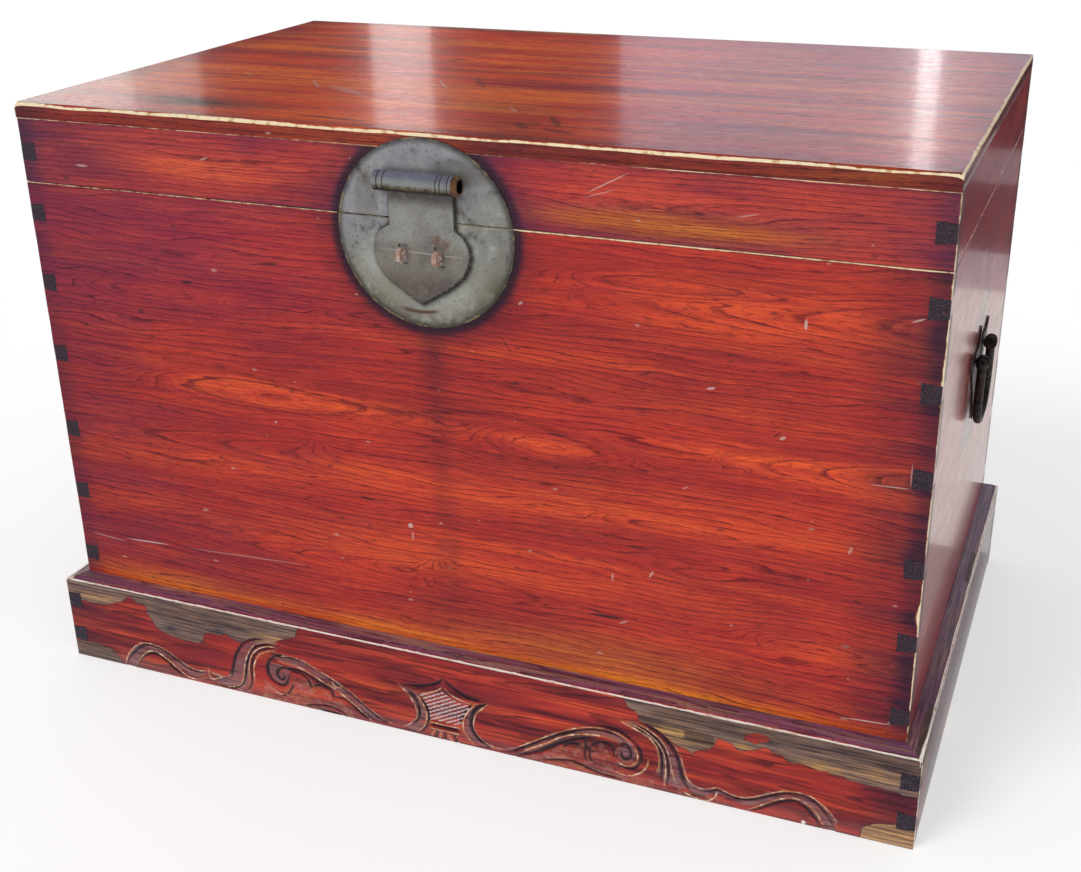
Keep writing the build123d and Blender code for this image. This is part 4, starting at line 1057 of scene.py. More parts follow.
def carving(x, z):
    """Depth below the face, and the pale, dark and hatch weights, at face points."""
    n = len(x)
    depth = np.full(n, 0.55)
    pale, dark, hatch = np.zeros(n), np.zeros(n), np.zeros(n)
    sunk = np.zeros(n)

    def near(pts, pad):
        p = np.asarray(pts)
        return np.nonzero((x > p[:, 0].min() - pad) & (x < p[:, 0].max() + pad) & (z > p[:, 1].min() - pad) & (z < p[:, 1].max() + pad))[0]

    for poly in BANDS:
        k = near(poly, 6)
        pts = smooth_line(list(poly) + [poly[0]], 2)
        d, _ = seg_dist(x[k], z[k], pts)
        s = np.where(inside(x[k], z[k], pts), d, -d)
        sunk[k] = np.maximum(sunk[k], sstep(s, -0.6, 2.4))
    cut = np.zeros(n)
    for pts, w in CUTS:
        k = near(pts, 6)
        d, t = seg_dist(x[k], z[k], smooth_line(pts, 2))
        taper = 0.45 + 0.55 * np.clip(np.minimum(t, 1 - t) * 7, 0, 1)
        ww = w * taper * (0.85 + 0.3 * noise2(x[k] / 9, z[k] / 9, 301))
        g = np.exp(-(d / (0.62 * ww)) ** 2)
        cut[k] = np.maximum(cut[k], g * (0.75 + 0.34 * w) * taper)
        dark[k] = np.maximum(dark[k], np.clip(1.6 * np.exp(-(d / (0.78 * ww)) ** 2), 0, 1) * taper)
    rise = np.zeros(n)
    rub = 0.15 * sunk
    for poly in RUBBED:
        k = near(poly, 6)
        d, _ = seg_dist(x[k], z[k], np.array(list(poly) + [poly[0]], float))
        s = np.where(inside(x[k], z[k], poly), d, -d)
        rub[k] = np.maximum(rub[k], 0.52 * sstep(s, -2, 5))
    for pts in RIDGES:
        k = near(pts, 10)
        d, t = seg_dist(x[k], z[k], smooth_line(pts, 2))
        taper = 0.5 + 0.5 * np.clip(np.minimum(t, 1 - t) * 8, 0, 1)
        rise[k] = np.maximum(rise[k], np.exp(-(d / 1.3) ** 2) * taper)
        rub[k] = np.maximum(rub[k], 0.55 * np.exp(-(d / 3.4) ** 2))
        pale[k] = np.maximum(pale[k], np.exp(-(d / 0.92) ** 2) * taper * (0.55 + 0.45 * noise2(x[k] / 7, z[k] / 7, 305)))
    # the hatched field of the fan
    k = near(FIELD, 4)
    pts = np.array(FIELD + [FIELD[0]], float)
    d, _ = seg_dist(x[k], z[k], pts)
    s = np.where(inside(x[k], z[k], FIELD), d, -d)
    m = sstep(s, 0.0, 1.6)
    a = math.radians(28)
    r1 = (-x[k] * math.sin(a) + z[k] * math.cos(a)) / 4.3
    r2 = (x[k] * math.cos(math.radians(64)) + z[k] * math.sin(math.radians(64))) / 4.6
    h1 = 0.5 + 0.5 * np.cos(2 * np.pi * r1)
    h2 = 0.5 + 0.5 * np.cos(2 * np.pi * r2)
    bead = 0.72 * h1 + 0.45 * h1 * h2
    hatch[k] = m * np.clip(bead, 0, 1)
    field = np.zeros(n)
    field[k] = m
    depth = depth + 1.0 * sunk * (1 - field) + 1.05 * field - 0.95 * hatch
    depth = depth + cut - 0.62 * rise * (1 - 0.6 * cut)
    depth = depth + 0.16 * (fbm(x / 11, z / 7, 311, 3) - 0.5)
    fade = sstep(x, -452, -440) * sstep(x, 446, 434)
    depth = lerp(0.35 + 0.2 * (fbm(x / 60, z / 30, 313) - 0.5), depth, fade)
    dot = np.exp(-(np.hypot(x - 386, z - 2.5) / 2.0) ** 4)
    return np.maximum(depth, 0.0), pale, dark, hatch, np.maximum(rub, 0.5 * field) * fade, sunk * fade * (1 - field), dot


def rail_tint(x, z, seed, ledge):
    n = fbm(x / 120 + seed, z / 22, 401, 4)
    n2 = fbm(x / 260 + seed, z / 9, 403, 3)
    c = np.tile(lerp(CRIMSON, RED, 0.25) * 0.95, (len(x), 1)) * (0.92 + 0.3 * (n[:, None] - 0.5))
    # purple towards both ends, and deeper purple towards the right corner as painted shade of the corner
    c = paint(c, (0.75 * sstep(n, 0.36, 0.66), RED), (0.60 * sstep(n2, 0.42, 0.70), ORANGE * 1.0), (0.45 * sstep(fbm(x / 160 + seed + 7, z / 7, 405, 3), 0.50, 0.72), PURPLE * 0.8), (0.5 * sstep(np.abs(x), 420, 480), PURPLE), (0.40 * sstep(x, 425, 470), PURPLE * 0.6))
    return paint(c, (0.25 * sstep(z, 16, 0), PURPLE), (0.80 * ledge, srgb(138, 108, 110)))


def carved_material():
    T = Tree("lacquer_carved")
    obj = T.n("TexCoord").outputs["Object"]
    g = T.attr("gco", "Vector")
    tint = T.attr("tint", "Color")
    bare_c = T.attr("patch_col", "Color")
    pale, dark, hatch, wear, endg, patch, ledge, dot = (T.attr(k) for k in ("pale", "dark", "hatch", "wear", "endg", "patch", "ledge", "dot"))
    fib = T.ramp(T.noise(T.scaled(g, 10, 260, 260, (1, 2, 3)), 1.0, 4.0, 0.6), 0.42, 0.66)
    fine = T.ramp(T.noise(T.scaled(g, 34, 900, 900, (4, 2, 3)), 1.0, 3.0, 0.6), 0.46, 0.68)
    rings = T.math("FRACT", T.math("ADD", T.math("MULTIPLY", T.noise(T.scaled(g, 3.0, 40, 30), 1.0, 3.0, 0.5), 9.0), 0.0))
    rl = T.math("MULTIPLY", T.ramp(rings, 0.45, 0.92), T.ramp(rings, 1.0, 0.95))
    grain = T.math("ADD", T.math("MULTIPLY", fib, 0.34), T.math("ADD", T.math("MULTIPLY", fine, 0.34), T.math("MULTIPLY", rl, 0.60)), clamp=True)
    hue = T.ramp(T.math("ADD", T.math("MULTIPLY", T.noise(T.scaled(g, 8, 120, 60, (5, 5, 1)), 1.0, 4.0, 0.6), 0.6), T.math("MULTIPLY", fib, 0.16)), 0.30, 0.50)
    lac = T.mix(1.0, tint, T.mix(hue, (0.76, 0.54, 1.0), (1.28, 1.42, 0.9)), "MULTIPLY")
    lac = T.mix(grain, lac, T.mix(1.0, tint, (0.22, 0.11, 0.30), "MULTIPLY"))
    blot = T.noise(T.scaled(obj, 70, 70, 110, (3, 3, 3)), 1.0, 4.0, 0.62)
    # the sunk bands are a dull purple brown, the fields round them rubbed through to a golden grey
    bm = T.math("MULTIPLY", T.attr("band"), T.ramp(T.noise(T.scaled(obj, 60, 60, 100, (1, 1, 9)), 1.0, 4.0, 0.6), 0.25, 0.60, 0.45, 0.95))
    lac = T.mix(bm, lac, T.mix(grain, srgb(140, 92, 92), srgb(78, 40, 52)))
    rb = T.math("ADD", T.attr("rub"), T.math("MULTIPLY", T.math("SUBTRACT", T.noise(T.scaled(obj, 120, 120, 200, (7, 3, 1)), 1.0, 5.0, 0.66), 0.5), 1.1))
    rubbed = T.mix(T.ramp(T.noise(T.scaled(obj, 50, 50, 90, (2, 9, 1)), 1.0, 3.0, 0.6), 0.38, 0.62), srgb(184, 116, 66), srgb(166, 134, 130))
    lac = T.mix(T.math("MULTIPLY", T.math("MULTIPLY", T.ramp(rb, 0.40, 0.80), T.ramp(T.attr("rub"), 0.03, 0.15)), 0.80), lac, T.mix(T.math("MULTIPLY", grain, 0.6), rubbed, srgb(84, 44, 44)))
    # cuts are painted near-black in blotches, with rubbed edges
    col = T.mix(T.math("MULTIPLY", dark, T.ramp(blot, 0.25, 0.55, 0.72, 0.98)), lac, srgb(40, 20, 30))
    gold = T.mix(T.ramp(T.noise(T.scaled(obj, 130, 130, 130, (1, 7, 3)), 1.0, 3.0, 0.6), 0.40, 0.62), srgb(176, 112, 62), srgb(222, 192, 160))
    pv = T.math("ADD", pale, T.math("MULTIPLY", T.math("SUBTRACT", T.noise(T.scaled(obj, 240, 240, 240), 1.0, 4.0, 0.65), 0.5), 0.8))
    col = T.mix(T.math("MULTIPLY", T.ramp(pv, 0.34, 0.66), T.ramp(pale, 0.04, 0.2)), col, gold)
    hv = T.math("ADD", hatch, T.math("MULTIPLY", T.math("SUBTRACT", T.noise(T.scaled(obj, 300, 300, 300, (5, 5, 5)), 1.0, 3.0, 0.6), 0.5), 0.7))
    col = T.mix(T.math("MULTIPLY", T.ramp(hv, 0.45, 0.8), 0.85), col, srgb(198, 186, 190))
    # bare, weathered wood
    bw = T.math("ADD", patch, T.math("MULTIPLY", T.math("SUBTRACT", T.noise(T.scaled(obj, 110, 110, 150, (8, 1, 8)), 1.0, 5.0, 0.72), 0.5), 0.85))
    pm = T.ramp(bw, 0.46, 0.56)
    halo = T.math("MULTIPLY", T.ramp(bw, 0.28, 0.46), T.math("SUBTRACT", 1.0, pm))
    streak = T.ramp(T.noise(T.scaled(g, 16, 420, 420, (9, 2, 3)), 1.0, 4.0, 0.62), 0.36, 0.68)
    barew = T.mix(streak, T.mix(T.ramp(blot, 0.35, 0.65), bare_c, T.mix(1.0, bare_c, (1.25, 1.12, 0.85), "MULTIPLY")), T.mix(1.0, bare_c, (0.22, 0.19, 0.28), "MULTIPLY"))
    col = T.mix(T.math("MULTIPLY", halo, 0.7), col, srgb(52, 26, 30))
    col = T.mix(pm, col, barew)
    wn = T.noise(T.scaled(obj, 60, 120, 120, (4, 4, 4)), 1.0, 4.0, 0.62)
    wv = T.math("ADD", wear, T.math("MULTIPLY", T.math("SUBTRACT", wn, 0.5), 0.55))
    wm = T.math("MULTIPLY", T.ramp(wv, 0.42, 0.60), T.ramp(wear, 0.02, 0.12))
    col = T.mix(wm, col, T.mix(T.ramp(wn, 0.5, 0.72), srgb(250, 242, 234), srgb(206, 178, 150)))
    speck = T.noise(T.scaled(obj, 900, 900, 900), 1.0, 3.0, 0.65)
    eg = T.mix(T.ramp(speck, 0.40, 0.72), srgb(20, 15, 28), srgb(84, 66, 80))
    col = T.mix(endg, col, eg)
    col = T.mix(dot, col, srgb(244, 240, 236))
    rough = T.math("ADD", 0.24, T.math("MULTIPLY", blot, 0.16))
    rough = T.mixf(T.math("MAXIMUM", pm, wm), rough, 0.60)
    rough = T.mixf(T.math("MULTIPLY", dark, 0.7), rough, 0.42)
    nrm = T.bump(T.math("SUBTRACT", 1.0, T.math("MAXIMUM", grain, T.math("MULTIPLY", T.math("MULTIPLY", pm, streak), 1.4))), 0.22, 0.0006)
    nrm = T.bump(T.noise(T.scaled(obj, 60, 60, 60, (2, 2, 5)), 1.0, 3.0, 0.5), 0.25, 0.002, nrm)
    return T.finish(col, rough, nrm, Coat_Weight=0.30, Coat_Roughness=0.14)


wood_carved = carved_material()
PATCH_GREY, PATCH_TAN, PATCH_YEL, PATCH_BLUE, PATCH_BROWN = srgb(134, 108, 100), srgb(190, 146, 98), srgb(190, 148, 88), srgb(64, 58, 78), srgb(104, 76, 66)


def patch_colour(x, z):
    n = fbm(x / 40, z / 8, 421, 3)
    c = np.tile(PATCH_GREY, (len(x), 1)) * (0.75 + 0.6 * (n[:, None] - 0.3))
    c = paint(c, (0.8 * blob(x, z, -445, 87, 30, 5), PATCH_TAN), (0.8 * blob(x, z, -210, 80, 28, 7), PATCH_TAN), (0.9 * blob(x, z, -286, 77, 12, 3.5), PATCH_BLUE),
              (0.9 * blob(x, z, -352, 66, 10, 4), PATCH_BLUE), (0.5 * blob(x, z, -320, 90, 60, 10), PATCH_BROWN), (0.9 * blob(x, z, -313, 49, 4, 4), PATCH_YEL),
              (0.85 * blob(x, z, 248, 73, 34, 11), PATCH_YEL), (0.9 * blob(x, z, 322, 76, 12, 3.5), PATCH_YEL), (0.8 * blob(x, z, 400, 73, 22, 7), PATCH_YEL),
              (0.6 * blob(x, z, 455, 76, 30, 10), PATCH_TAN), (0.55 * sstep(z, 84, 92) * sstep(x, 200, 260), PATCH_BROWN * 0.8),
              (0.75 * sstep(np.abs(x - 277), 17, 14) * sstep(np.abs(z - 75), 6.5, 4.5), PATCH_BROWN * 0.55))
    c = paint(c, (0.7 * (z < 40) * (x < 0), PATCH_BROWN), (0.8 * (z < 40) * (x > 0), PATCH_TAN))
    return c


def patch_weight(x, z, polys, soft=3.0):
    w = np.zeros(len(x))
    wx, wz = wobble(x, z, 2.2, 9, 431)
    for poly in polys:
        p = np.asarray(poly, float)
        k = np.nonzero((wx > p[:, 0].min() - 8) & (wx < p[:, 0].max() + 8) & (wz > p[:, 1].min() - 8) & (wz < p[:, 1].max() + 8))[0]
        d, _ = seg_dist(wx[k], wz[k], np.vstack([p, p[:1]]))
        s = np.where(inside(wx[k], wz[k], p), d, -d)
        w[k] = np.maximum(w[k], np.clip(0.5 + s / (2 * soft), 0, 1))
    return w


ZERO4 = ("pale", "dark", "hatch", "wear", "endg", "patch", "ledge", "dot", "rub", "band")


def rail_attrs(n, gco, tint, patch_col, **w):
    out = {"gco": gco / 1000.0, "tint": rgba(tint), "patch_col": rgba(patch_col)}
    for k in ZERO4:
        out[k] = np.broadcast_to(np.asarray(w.get(k, 0.0), float), (n,)).copy()
    return out


def front_rail():
    fine_x = np.linspace(-440, 430, 831)
    U = np.concatenate([spread(-PHW, -440, 5, hi=False, extra=[-475], fine=(0, 0.3, 0.8, 1.6, 3, 5)), fine_x[1:-1],
                        spread(430, PHW, 5, lo=False, extra=[475], fine=(0, 0.3, 0.8, 1.6, 3, 5))])
    V = np.array(sorted(set(np.round(list(np.linspace(0, 84, 81)) + [0.3] + [85.5, 87.0, 89.5, 92, 94.2, MIT, MIT + 0.3, 97.6, 99, 100.2, 101.2, 102, 102.7, 103.3, 103.7, PH], 3))))
    V = np.concatenate([V, [PH + f for f in (0.4, 1.0, 2.0, 3.4, 5.4, 8.5, 12.5, 16.5, 19.5, LEDGE)]])
    uc, vc = (U[1:] + U[:-1]) / 2, (V[1:] + V[:-1]) / 2
    keep = ~((np.abs(uc) > HW)[:, None] & in_pin(vc, BASE_PINS)[None, :])
    hold = {}

    def shift(u, v):
        k = np.clip((np.abs(u) - HW) / (PHW - HW), 0, 1)
        return np.where(v < 90, pin_shift(v, BASE_PINS, k), v)

    def front(u, v):
        z0 = shift(u, v)
        face = v <= PH
        depth, pale, dark, hatch, rub, cut, dot = carving(u, np.where(face, z0, 200.0))
        hold["w"] = (pale * face, dark * face, hatch * face, dot * face, rub * face, cut * face)
        r = 1.5 + 1.9 * fbm(u / 30, u * 0, 441, 2) + 1.4 * (fbm(u / 7, u * 0, 445, 2) > 0.62)
        d, z, t = rail_point(u, z0, r, np.where(face, depth, 0))
        e = PHW - np.abs(u)
        d = np.maximum(d, np.where(face, round_depth(e, 1.8), 0))
        x = u * lerp(1.0, HW / PHW, np.clip(d / LEDGE, 0, 1) * (v > PH) + 0 * v)
        z = z - (v > PH) * 0.18 * (fbm(u / 40, v / 9, 447, 2))
        return np.stack([x, PYF + d, z], 1)

    def back(u, v):
        z = np.where(v > PH, PH + (PHI - 0.3 - PH) * (v - PH) / LEDGE, shift(u, v))
        z = np.where(v > PH + LEDGE - 0.01, PHI - 0.45, z)
        x = np.where(v > MIT + 0.1, u * HW / PHW, u)
        return np.stack([x, np.full_like(u, YF - 0.02), z], 1)

    co, faces, layer, u, v = sheet(U, V, keep, front, back)
    x, z = co[:, 0], co[:, 2]
    n = len(co)
    m = n - len(hold["w"][0])
    pale, dark, hatch, dot, rub, band = (np.concatenate([w, np.zeros(m)]) for w in hold["w"])
    ledge = sstep(v, PH + 0.5, PH + 4)
    zz = np.where(v > PH, PH + (v - PH), z)
    patch = patch_weight(u, np.minimum(zz, 108), [BARE_L, BARE_R, BARE_LB, BARE_RB])
    isl = patch_weight(u, zz, [ISLAND])
    patch = np.clip(patch - 1.2 * isl, 0, 1)
    patch = np.where(v > PH + 0.5, 0.0, patch) * (1 - 0.85 * np.clip(pale + dark + hatch, 0, 1))
    wear = np.exp(-((v - (PH - 0.1)) / (0.85 + 0.7 * fbm(u / 30, u * 0, 451, 2))) ** 2) * (0.90 + 0.3 * noise2(u / 60, u * 0, 453))
    wear = np.maximum(wear, np.clip(1 - (PHW - np.abs(u)) / 1.8, 0, 1) * 0.55 * (v < PH))
    wear = np.maximum(wear, np.clip(1 - v / 1.6, 0, 1) * 0.45 * noise2(u / 20, u * 0, 455))
    wear = wear * (layer < 0.5)
    tint = rail_tint(u, zz, 0.0, ledge)
    attrs = rail_attrs(n, np.stack([u, zz, co[:, 1]], 1), tint, patch_colour(u, zz), pale=pale, dark=dark, hatch=hatch, dot=dot, rub=rub, band=band, wear=wear,
                       patch=patch * (layer < 0.5), ledge=ledge)
    return mesh_object("front_rail_carved", co, faces, "chest", 50, [wood_carved], attrs, ["base_front_rail"])


front_rail()


def side_rail(side, nm):
    U = spread(PYF, PYB, 6.5, extra=[YF, 289.0], fine=(0, 0.3, 0.8, 1.6, 3, 5))
    V = rail_v(6.0)
    uc, vc = (U[1:] + U[:-1]) / 2, (V[1:] + V[:-1]) / 2
    tip = (uc < YF) | (uc > 289.0)
    keep = ~(tip[:, None] & (~in_pin(vc, BASE_PINS) & (vc < MIT))[None, :])

    def y_in(u):
        return YF + (u - PYF) * (YB - YF) / (PYB - PYF)

    def place(layer, u, v):
        face = v <= PH
        z0 = np.where(v < 90, pin_shift(v, BASE_PINS, 0.0 if layer else 1.0), v)
        z0 = np.where((u < YF + 0.5) | (u > 289.0 - 0.5), z0, v)
        if layer:
            z = np.where(v > PH, PH + (PHI - 0.3 - PH) * (v - PH) / LEDGE, z0)
            z = np.where(v > PH + LEDGE - 0.01, PHI - 0.45, z)
            return np.stack([np.full_like(u, side * HW), np.where(v > MIT + 0.1, y_in(u), u), z], 1)
        r = 1.3 + 1.6 * fbm(u / 30, u * 0, 461 + side, 2)
        d, z, t = rail_point(u, z0, r, 0.12 + 0.2 * fbm(u / 80, z0 / 30, 463))
        d = np.where(v > PH, lerp(r * 0.97, 18.0, t), np.maximum(d, round_depth(np.minimum(u - PYF, PYB - u), 1.6)))
        z = np.where(v > PH, PH + (PHI - PH) * d / 18.0 - 0.5 * r * sstep(d, 4 * r, r), z)
        y = np.where(face, u, lerp(u, y_in(u), np.clip(d / 18.0, 0, 1)))
        return np.stack([side * (PHW - d), y, z], 1)

    co, faces, layer, u, v = slab(U, V, keep, place, flip=(side < 0))
    n = len(co)
    outer = layer < 0.5
    zz = np.where(v > PH, v, co[:, 2])
    ledge = sstep(v, PH + 0.5, PH + 4)
    e = np.minimum(u - PYF, PYB - u)
    wear = np.exp(-((v - (PH - 0.2)) / (1.2 + 1.3 * fbm(u / 22, u * 0, 465, 2))) ** 2) * (0.6 + 0.4 * noise2(u / 40, u * 0, 467))
    wear = np.maximum(wear, np.clip(1 - e / 1.8, 0, 1) * 0.5) * outer
    tip = ((u < PYF + 1.0) | (u > PYB - 1.0)) & (v < 90)
    patch = patch_weight(u, zz, [[(-314, 112), (-314, 62), (-290, 70), (-262, 66), (-240, 80), (-226, 112)], [(40, 112), (48, 92), (96, 90), (118, 112)], [(-120, -2), (-110, 9), (-60, 8), (-50, -2)]])
    tint = rail_tint(u + 700, zz, 3.0, ledge)
    attrs = rail_attrs(n, np.stack([u, zz, co[:, 0]], 1), tint, patch_colour(u * 0 + 470, zz), wear=wear, patch=patch * outer, ledge=ledge, endg=tip)
    mesh_object(f"{nm}_rail_wood", co, faces, "chest", 40, [wood_carved], attrs, [f"base_{nm}_rail"])


side_rail(1, "right")
side_rail(-1, "left")


def back_rail():
    U = spread(-PHW, PHW, 7.0, extra=[-HW, HW], fine=(0, 0.3, 0.8, 1.6, 3, 5))
    V = np.array(sorted(set(list(rail_v(6.0)) + [ZW0, ZW0 + 0.3])))
    uc, vc = (U[1:] + U[:-1]) / 2, (V[1:] + V[:-1]) / 2
    keep = ~((np.abs(uc) > HW)[:, None] & in_pin(vc, BASE_PINS)[None, :])

    def place(layer, u, v):
        face = v <= PH
        k = np.clip((np.abs(u) - HW) / (PHW - HW), 0, 1)
        z0 = np.where(v < 90, pin_shift(v, BASE_PINS, k), v)
        if layer:
            # behind the carcase's back wall the rail is thinner above the wall's foot
            y = np.where(v > ZW0 + 0.2, YB + 0.02, 289.0)
            z = np.where(v > PH, PH + (PHI - 0.3 - PH) * (v - PH) / LEDGE, z0)
            z = np.where(v > PH + LEDGE - 0.01, PHI - 0.45, z)
            x = np.where(v > MIT + 0.1, u * HW / PHW, u)
            y = np.where((np.abs(u) > HW + 0.5) & (v < MIT + 0.1), 289.0, y)
            return np.stack([x, y, z], 1)
        r = 1.2 + 1.2 * fbm(u / 30, u * 0, 471, 2)
        d, z, t = rail_point(u, z0, r, 0.12 + 0.2 * fbm(u / 80, z0 / 30, 473))
        d = np.where(v > PH, lerp(r * 0.97, 7.0, t), np.maximum(d, round_depth(PHW - np.abs(u), 1.6)))
        z = np.where(v > PH, PH + (PHI - PH) * d / 7.0 - 0.5 * r * sstep(d, 3 * r, r), z)
        x = np.where(face, u, u * lerp(1.0, HW / PHW, np.clip(d / 7.0, 0, 1)))
        return np.stack([x, PYB - d, z], 1)

    co, faces, layer, u, v = slab(U, V, keep, place, flip=True)
    n = len(co)
    outer = layer < 0.5
    zz = np.where(v > PH, v, co[:, 2])
    ledge = sstep(v, PH + 0.5, PH + 4)
    wear = np.exp(-((v - (PH - 0.2)) / 1.6) ** 2) * (0.5 + 0.4 * noise2(u / 40, u * 0, 477))
    wear = np.maximum(wear, np.clip(1 - (PHW - np.abs(u)) / 1.8, 0, 1) * 0.5) * outer
    patch = patch_weight(u, zz, [[(-300, 112), (-290, 95), (-200, 92), (-188, 112)], [(-499, -2), (-499, 14), (-440, 10), (-430, -2)], [(250, 112), (262, 97), (330, 95), (344, 112)]])
    attrs = rail_attrs(n, np.stack([u, zz, co[:, 1]], 1), rail_tint(u + 1700, zz, 6.0, ledge) * 0.85, patch_colour(u * 0 + 470, zz), wear=wear, patch=patch * outer, ledge=ledge)
    mesh_object("back_rail_wood", co, faces, "chest", 40, [wood_carved], attrs, ["base_back_rail"])


back_rail()

# ------------------------------------------------------------------ plain wood of the floor and ledgers
def plain_material():
    T = Tree("plain_wood")
    obj = T.n("TexCoord").outputs["Object"]
    g = T.scaled(obj, 1.0, 1.0, 1.0)
    line = T.math("FRACT", T.math("ADD", T.math("MULTIPLY", T.noise(T.scaled(g, 2.4, 16, 16), 1.0, 3.0, 0.55), 9.0), 0.0))
    rl = T.math("MULTIPLY", T.ramp(line, 0.4, 0.92), T.ramp(line, 1.0, 0.95))
    fib = T.ramp(T.noise(T.scaled(g, 12, 300, 300), 1.0, 4.0, 0.6), 0.40, 0.68)
    d = T.math("ADD", T.math("MULTIPLY", rl, 0.5), T.math("MULTIPLY", fib, 0.45), clamp=True)
    tone = T.mix(T.noise(T.scaled(g, 5, 9, 9, (3, 3, 3)), 1.0, 3.0, 0.5), srgb(206, 164, 116), srgb(164, 120, 78))
    col = T.mix(d, tone, srgb(112, 74, 46))
    dust = T.ramp(T.noise(T.scaled(obj, 14, 14, 14, (6, 6, 6)), 1.0, 5.0, 0.65), 0.52, 0.75)
    col = T.mix(T.math("MULTIPLY", dust, 0.4), col, srgb(92, 72, 60))
    return T.finish(col, T.math("ADD", 0.55, T.math("MULTIPLY", fib, 0.2)), T.bump(T.math("SUBTRACT", 1.0, d), 0.3, 0.0006))


# ------------------------------------------------------------------ metal
def plate_material():
    """Brass plate, gone grey-green, with a dark rim, brown stains and fine scratches."""
    T = Tree("patina_plate")
    obj = T.n("TexCoord").outputs["Object"]
    sep = T.n("SeparateXYZ")
    T.put(sep.inputs[0], obj)
    dx = T.math("ADD", sep.outputs["X"], 0.010)
    dz = T.math("SUBTRACT", sep.outputs["Z"], 0.558)
    rad = T.math("SQRT", T.math("ADD", T.math("MULTIPLY", dx, dx), T.math("MULTIPLY", dz, dz)))
    big = T.noise(T.scaled(obj, 16, 16, 16, (2, 0, 1)), 1.0, 5.0, 0.6)
    mid = T.noise(T.scaled(obj, 60, 60, 60, (4, 1, 1)), 1.0, 5.0, 0.62)
    fine = T.noise(T.scaled(obj, 330, 330, 330), 1.0, 4.0, 0.6)
    base = T.mix(T.ramp(big, 0.35, 0.66), srgb(164, 164, 156), srgb(204, 204, 190))
    # lilac towards the upper left: painted shade
    base = T.mix(T.math("MULTIPLY", T.ramp(T.math("SUBTRACT", dz, T.math("MULTIPLY", dx, 0.4)), -0.02, 0.06), 0.55), base, srgb(176, 174, 190))
    base = T.mix(T.ramp(mid, 0.50, 0.72), base, srgb(204, 204, 196))
    base = T.mix(T.ramp(mid, 0.46, 0.28), base, srgb(118, 114, 106))
    base = T.mix(T.math("MULTIPLY", T.ramp(fine, 0.56, 0.70), 0.5), base, srgb(78, 72, 60))
    for (x, z), (sx, sz), colour, k in (((-40, 500), (30, 20), srgb(182, 178, 150), .7), ((50, 515), (20, 26), srgb(170, 168, 146), .6),
                                        ((30, 620), (40, 16), srgb(112, 108, 100), .7), ((-70, 590), (16, 34), srgb(124, 120, 104), .6)):
        m = T.mark(obj, (x / 1000, -0.2938, z / 1000), (sx / 1000, 0.01, sz / 1000))
        m = T.math("MULTIPLY", m, T.ramp(big, 0.3, 0.6, 0.4, 1.0))
        base = T.mix(T.math("MULTIPLY", m, k), base, colour)
    # painted shadow round the hasp and under the hinge barrel
    ol = T.attr("hasp_shadow")
    base = T.mix(T.math("MULTIPLY", ol, 0.95), base, srgb(44, 38, 34))
    # rust-brown arc below the drop
    arc = T.ramp(T.math("ABSOLUTE", T.math("SUBTRACT", T.vmath("LENGTH", T.vmath("SUBTRACT", obj, (-0.019, -0.2938, 0.560))), 0.079)), 0.0028, 0.0006)
    arc = T.math("MULTIPLY", arc, T.mark(obj, (-0.019, -0.2938, 0.481), (0.024, 0.01, 0.012)))
    base = T.mix(T.math("MULTIPLY", arc, 0.85), base, srgb(112, 62, 40))
    rim = T.ramp(rad, 0.0845, 0.0912)
    low = T.math("MULTIPLY", T.ramp(rad, 0.066, 0.090), T.ramp(dz, 0.02, -0.06))
    base = T.mix(T.math("MULTIPLY", T.math("MULTIPLY", low, T.ramp(mid, 0.36, 0.60)), 0.75), base, srgb(104, 92, 66))
    east = T.math("MULTIPLY", T.ramp(dx, 0.045, 0.085), T.ramp(big, 0.35, 0.6))
    base = T.mix(T.math("MULTIPLY", east, 0.6), base, srgb(104, 98, 84))
    base = T.mix(T.math("MULTIPLY", rim, 0.75), base, srgb(58, 52, 44))
    rub = T.math("MULTIPLY", T.ramp(rad, 0.0890, 0.0912), T.ramp(mid, 0.50, 0.60))
    base = T.mix(T.math("MULTIPLY", rub, 0.7), base, srgb(176, 160, 118))
    scr = T.n("TexNoise")
    T.put(scr.inputs["Vector"], T.scaled(obj, 40, 40, 900, (1, 1, 1)))
    for k, v in (("Scale", 1.0), ("Detail", 3.0), ("Roughness", 0.6), ("Distortion", 0.4)):
        scr.inputs[k].default_value = v
    s = T.ramp(scr.outputs[0], 0.62, 0.68)
    base = T.mix(T.math("MULTIPLY", s, 0.25), base, srgb(196, 194, 176))
    rough = T.math("ADD", 0.34, T.math("MULTIPLY", mid, 0.24))
    h = T.math("ADD", T.math("MULTIPLY", mid, 0.6), T.math("MULTIPLY", fine, 0.4))
    nrm = T.bump(h, 0.30, 0.0008)
    nrm = T.bump(T.noise(T.scaled(obj, 22, 22, 22, (7, 7, 7)), 1.0, 2.0, 0.5), 0.30, 0.004, nrm)
    return T.finish(base, rough, nrm, metallic=T.math("ADD", 0.45, T.math("MULTIPLY", big, 0.3)))


